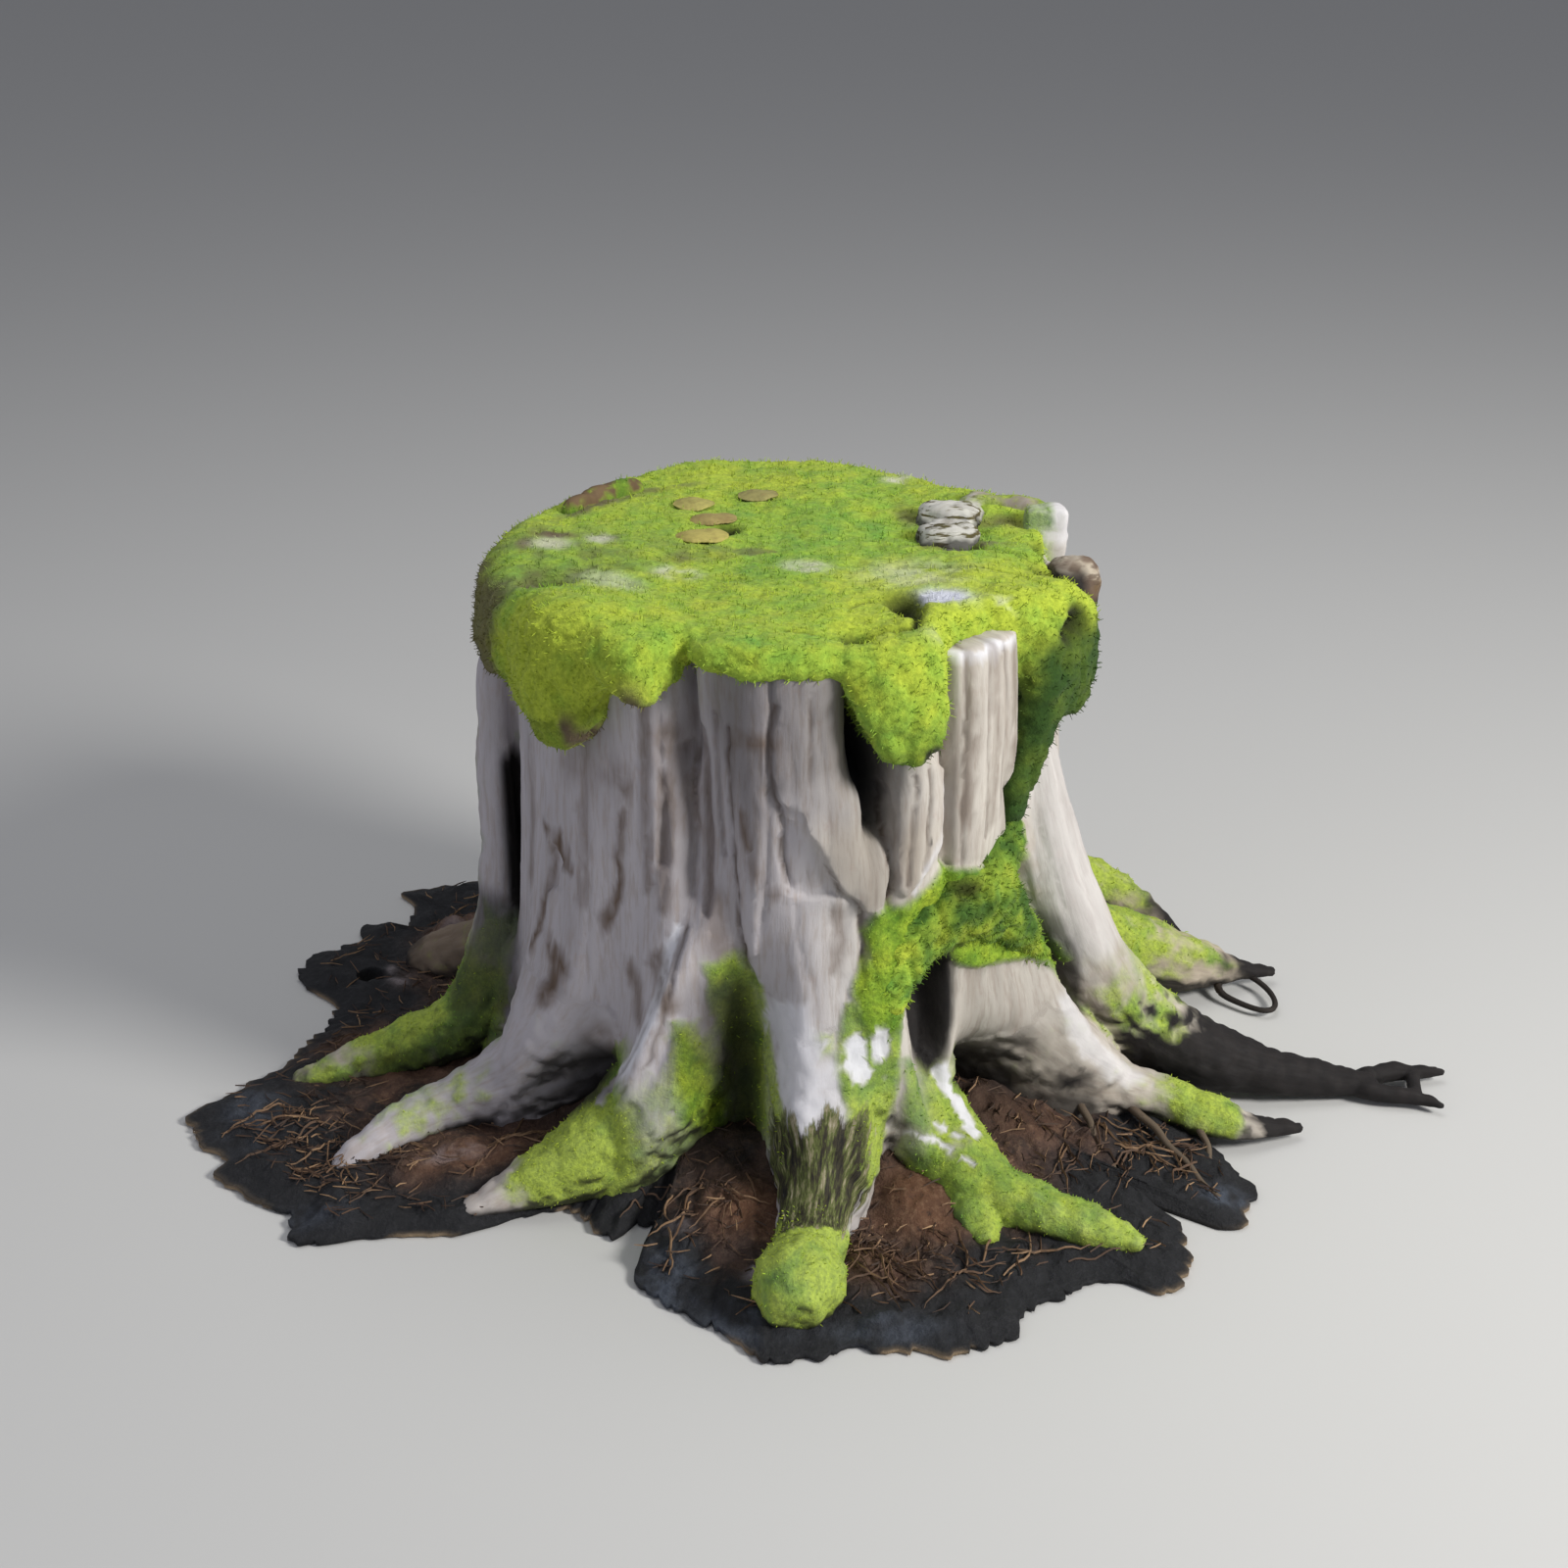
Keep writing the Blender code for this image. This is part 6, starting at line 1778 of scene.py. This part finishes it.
def build_needles():
    """Dropped needles strewn and heaped, and long rootlet fibres in tangles, as one layer."""
    chance = np.random.default_rng(7)
    degrees = chance.uniform(-180, 180, NEEDLES)
    share = 1 - 0.62 * chance.random(NEEDLES) ** 0.8
    middle = polar_point(degrees, ragged_radius(degrees) * np.minimum(share, 0.93), 0.0)
    knots = cloud(middle * (1, 1, 0), 0.07, 81)
    keep = knots > chance.uniform(-1.1, 0.7, NEEDLES)
    middle, degrees = middle[keep], degrees[keep]
    heaps = []
    for x, y, spread, number in NEEDLE_HEAPS:
        number //= 2
        spot = np.zeros((number, 3))
        spot[:, :2] = chance.normal(0, spread, (number, 2)) + (x, y)
        heaps.append(spot[edge_share(spot) < 0.95])
    heap = np.concatenate(heaps)
    middle = np.concatenate([middle, heap])
    degrees = np.concatenate([degrees, angle_of(heap)])
    count = len(middle)
    yaw = chance.uniform(0, 2 * math.pi, count) * 0.7 + np.radians(degrees) * 0.9
    length = chance.uniform(0.010, 0.026, count)
    way = np.stack([np.cos(yaw), np.sin(yaw), chance.uniform(-0.10, 0.25, count)], axis=-1)
    side = np.stack([-np.sin(yaw), np.cos(yaw), 0 * yaw], axis=-1)
    middle[:, 2] = lie_on_mat(middle) + 0.001 + 0.004 * chance.random(count)
    bow = chance.uniform(-0.0025, 0.0025, count)
    along = np.array([-1.0, 0.0, 1.0])
    spine = middle[:, None] + 0.5 * length[:, None, None] * along[None, :, None] * way[:, None]
    spine = spine + (bow[:, None] * (1 - along**2)[None])[..., None] * side[:, None]
    first = slivers(spine, chance.uniform(0.0006, 0.0010, count))
    tint = np.repeat(chance.random(count) ** 2.2, 9)
    starts, headings, reaches = [], [], []
    for x, y, spread, number, heading in FIBRE_TANGLES:
        number = int(0.55 * number)
        spot = np.zeros((number, 3))
        spot[:, :2] = chance.normal(0, spread, (number, 2)) + (x, y)
        starts.append(spot)
        headings.append(np.radians(heading + chance.normal(0, 28, number)))
        reaches.append(chance.uniform(0.03, 0.10, number))
    start, heading, reach = (np.concatenate(part) for part in (starts, headings, reaches))
    strands, rings = len(start), 13
    bend = np.cumsum(chance.normal(0, 0.22, (strands, rings)), axis=1) + heading[:, None]
    heading_step = np.stack([np.cos(bend), np.sin(bend), 0 * bend], axis=-1)
    step = (reach / rings)[:, None, None] * heading_step
    spine = start[:, None] + np.cumsum(step, axis=1)
    flat_spine = spine.reshape(-1, 3)
    arch = np.sin(np.linspace(0, math.pi, rings))[None]
    lift = 0.0015 + 0.004 * chance.random((strands, 1)) * arch
    spine[..., 2] = lie_on_mat(flat_spine).reshape(strands, rings) + lift
    inside = (edge_share(flat_spine).reshape(strands, rings) < 0.97).all(axis=1)
    spine = spine[inside]
    second = slivers(spine, chance.uniform(0.0007, 0.0014, strands)[inside])
    tint = np.concatenate([tint, np.repeat(0.25 + 0.5 * chance.random(inside.sum()), 3 * rings)])
    points, faces = join([(first[0], first[1].tolist()), (second[0], second[1].tolist())])
    points[:, 2] = np.maximum(points[:, 2], 0.001)
    needles = new_object("fallen_needles", points, faces, smooth=False)
    paint(needles, "tint", tint)
    return put_in_place(needles, needle_material(), "litter")


def needle_material():
    m = Mixer("dry needles")
    tint = m.attribute("tint")
    tans = ((0.1, (0.040, 0.020, 0.012)), (0.5, (0.13, 0.070, 0.036)), (0.95, (0.34, 0.21, 0.11)))
    base = m.ramp(tint, *tans)
    grime = m.noise(120.0, 3.0)
    base = m.mix(m.span(grime, 0.45, 0.7, 0.0, 0.6), base, (0.030, 0.018, 0.012))
    return m.finish(base, 0.75, m.bump(grime, 0.3, 0.0005))


# The leaves


def build_leaves():
    """Each blade: half width (1 - t^2)^0.55 along it, domed over the moss, with a sunk midrib and a
    thick edge."""
    for number, (x, y, half_length, half_width, turn) in enumerate(LEAVES, 1):
        along = np.linspace(-1, 1, 41)[:, None]
        across = np.linspace(-1, 1, 21)[None]
        wide = half_width * np.maximum(0.02, 1 - along**2) ** 0.55
        wave = 1 + 0.05 * np.sin(7 * along + number) + 0.02 * np.sin(29 * along)
        u = half_length * along + 0 * across
        v = across * wide * wave
        round_off = 1 - 0.75 * (along**2 + (across * wide / half_width) ** 2)
        w = 0.26 * half_length * round_off - 0.0003 * np.exp(-((across / 0.08) ** 2))
        w = w + 0.0008 * np.sin(3 * along + 2 * across + number)
        c, s = math.cos(math.radians(turn)), math.sin(math.radians(turn))
        base = float(cap_top(np.array(x), np.array(y))) + LEAF_LIFT - 0.08 * half_length
        top = np.stack([x + c * u - s * v, y + s * u + c * v, base + w], axis=-1)
        low = top - (0, 0, LEAF_THICKNESS)
        ring = np.concatenate([top, low[:, ::-1]], axis=1)
        leaf = new_object("fallen_leaf_%d" % number, *skin(ring[:, ::-1]))
        uv = np.stack([along + 0 * across, 0 * along + across], axis=-1)
        uv = np.concatenate([uv, uv[:, ::-1]], axis=1)[:, ::-1].reshape(-1, 2)
        uv = np.concatenate([uv, [(-1, 0), (1, 0)]])
        paint(leaf, "blade", np.concatenate([uv, np.full((len(uv), 1), number)], axis=1))
        put_in_place(leaf, leaf_material(number), "dry_leaf", "leaf_%d" % number)


def leaf_material(number):
    colours = ((0.40, 0.36, 0.10), (0.30, 0.27, 0.09), (0.34, 0.27, 0.09), (0.44, 0.38, 0.10))
    m = Mixer("dry leaf %d" % number)
    colour = colours[number - 1]
    blade = m.attribute("blade", vector=True)
    vein = m.noise(2.2, 3.0, 0.6, m.stretch(blade, (1.2, 1.6, 1.0)))
    spot = m.noise(90.0, 4.0)
    base = m.mix(m.span(vein, 0.4, 0.65, 0.0, 0.6), colour, tuple(0.62 * c for c in colour))
    base = m.mix(m.span(spot, 0.52, 0.72, 0.0, 0.5), base, (0.20, 0.12, 0.04))
    return m.finish(base, 0.80, m.bump(spot, 0.3, 0.0008))


# Camera, light and floor


def set_camera():
    level = math.radians(CAMERA_ELEVATION)
    forward = Vector((0.0, math.cos(level), -math.sin(level)))
    data = bpy.data.cameras.new("camera")
    data.sensor_width = SENSOR_WIDTH
    data.lens = CAMERA_LENS
    data.clip_end = 50.0
    camera = bpy.data.objects.new("camera", data)
    camera.location = Vector(CAMERA_TARGET) - CAMERA_DISTANCE * forward
    camera.rotation_euler = forward.to_track_quat("-Z", "Y").to_euler()
    bpy.context.scene.collection.objects.link(camera)
    bpy.context.scene.camera = camera


def add_light(name, place, size, power, colour):
    data = bpy.data.lights.new(name, "AREA")
    data.shape = "DISK"
    data.size = size
    data.energy = power
    data.color = colour
    light = bpy.data.objects.new(name, data)
    light.location = place
    aim = Vector(LAMP_TARGET) - Vector(place)
    light.rotation_euler = aim.to_track_quat("-Z", "Y").to_euler()
    bpy.context.scene.collection.objects.link(light)


def set_light():
    for lamp in LAMPS:
        add_light(*lamp)
    world = bpy.data.worlds.new("studio")
    world.use_nodes = True
    back = world.node_tree.nodes["Background"]
    back.inputs["Color"].default_value = (0.84, 0.86, 0.94, 1.0)
    back.inputs["Strength"].default_value = 0.27
    bpy.context.scene.world = world
    bpy.context.scene.view_settings.view_transform = "Standard"


def add_floor():
    ways = ((-1, -1, 0), (1, -1, 0), (1, 1, 0), (-1, 1, 0))
    floor = new_object("floor", FLOOR_REACH * np.array(ways), [[0, 1, 2, 3]])
    material = bpy.data.materials.new("studio floor")
    material.use_nodes = True
    shader = material.node_tree.nodes["Principled BSDF"]
    shader.inputs["Base Color"].default_value = (0.55, 0.55, 0.54, 1.0)
    shader.inputs["Roughness"].default_value = 0.9
    floor.data.materials.append(material)


set_camera()
set_light()
add_floor()
build_wood()
build_cap()
build_crook()
build_mat()
build_needles()
build_leaves()
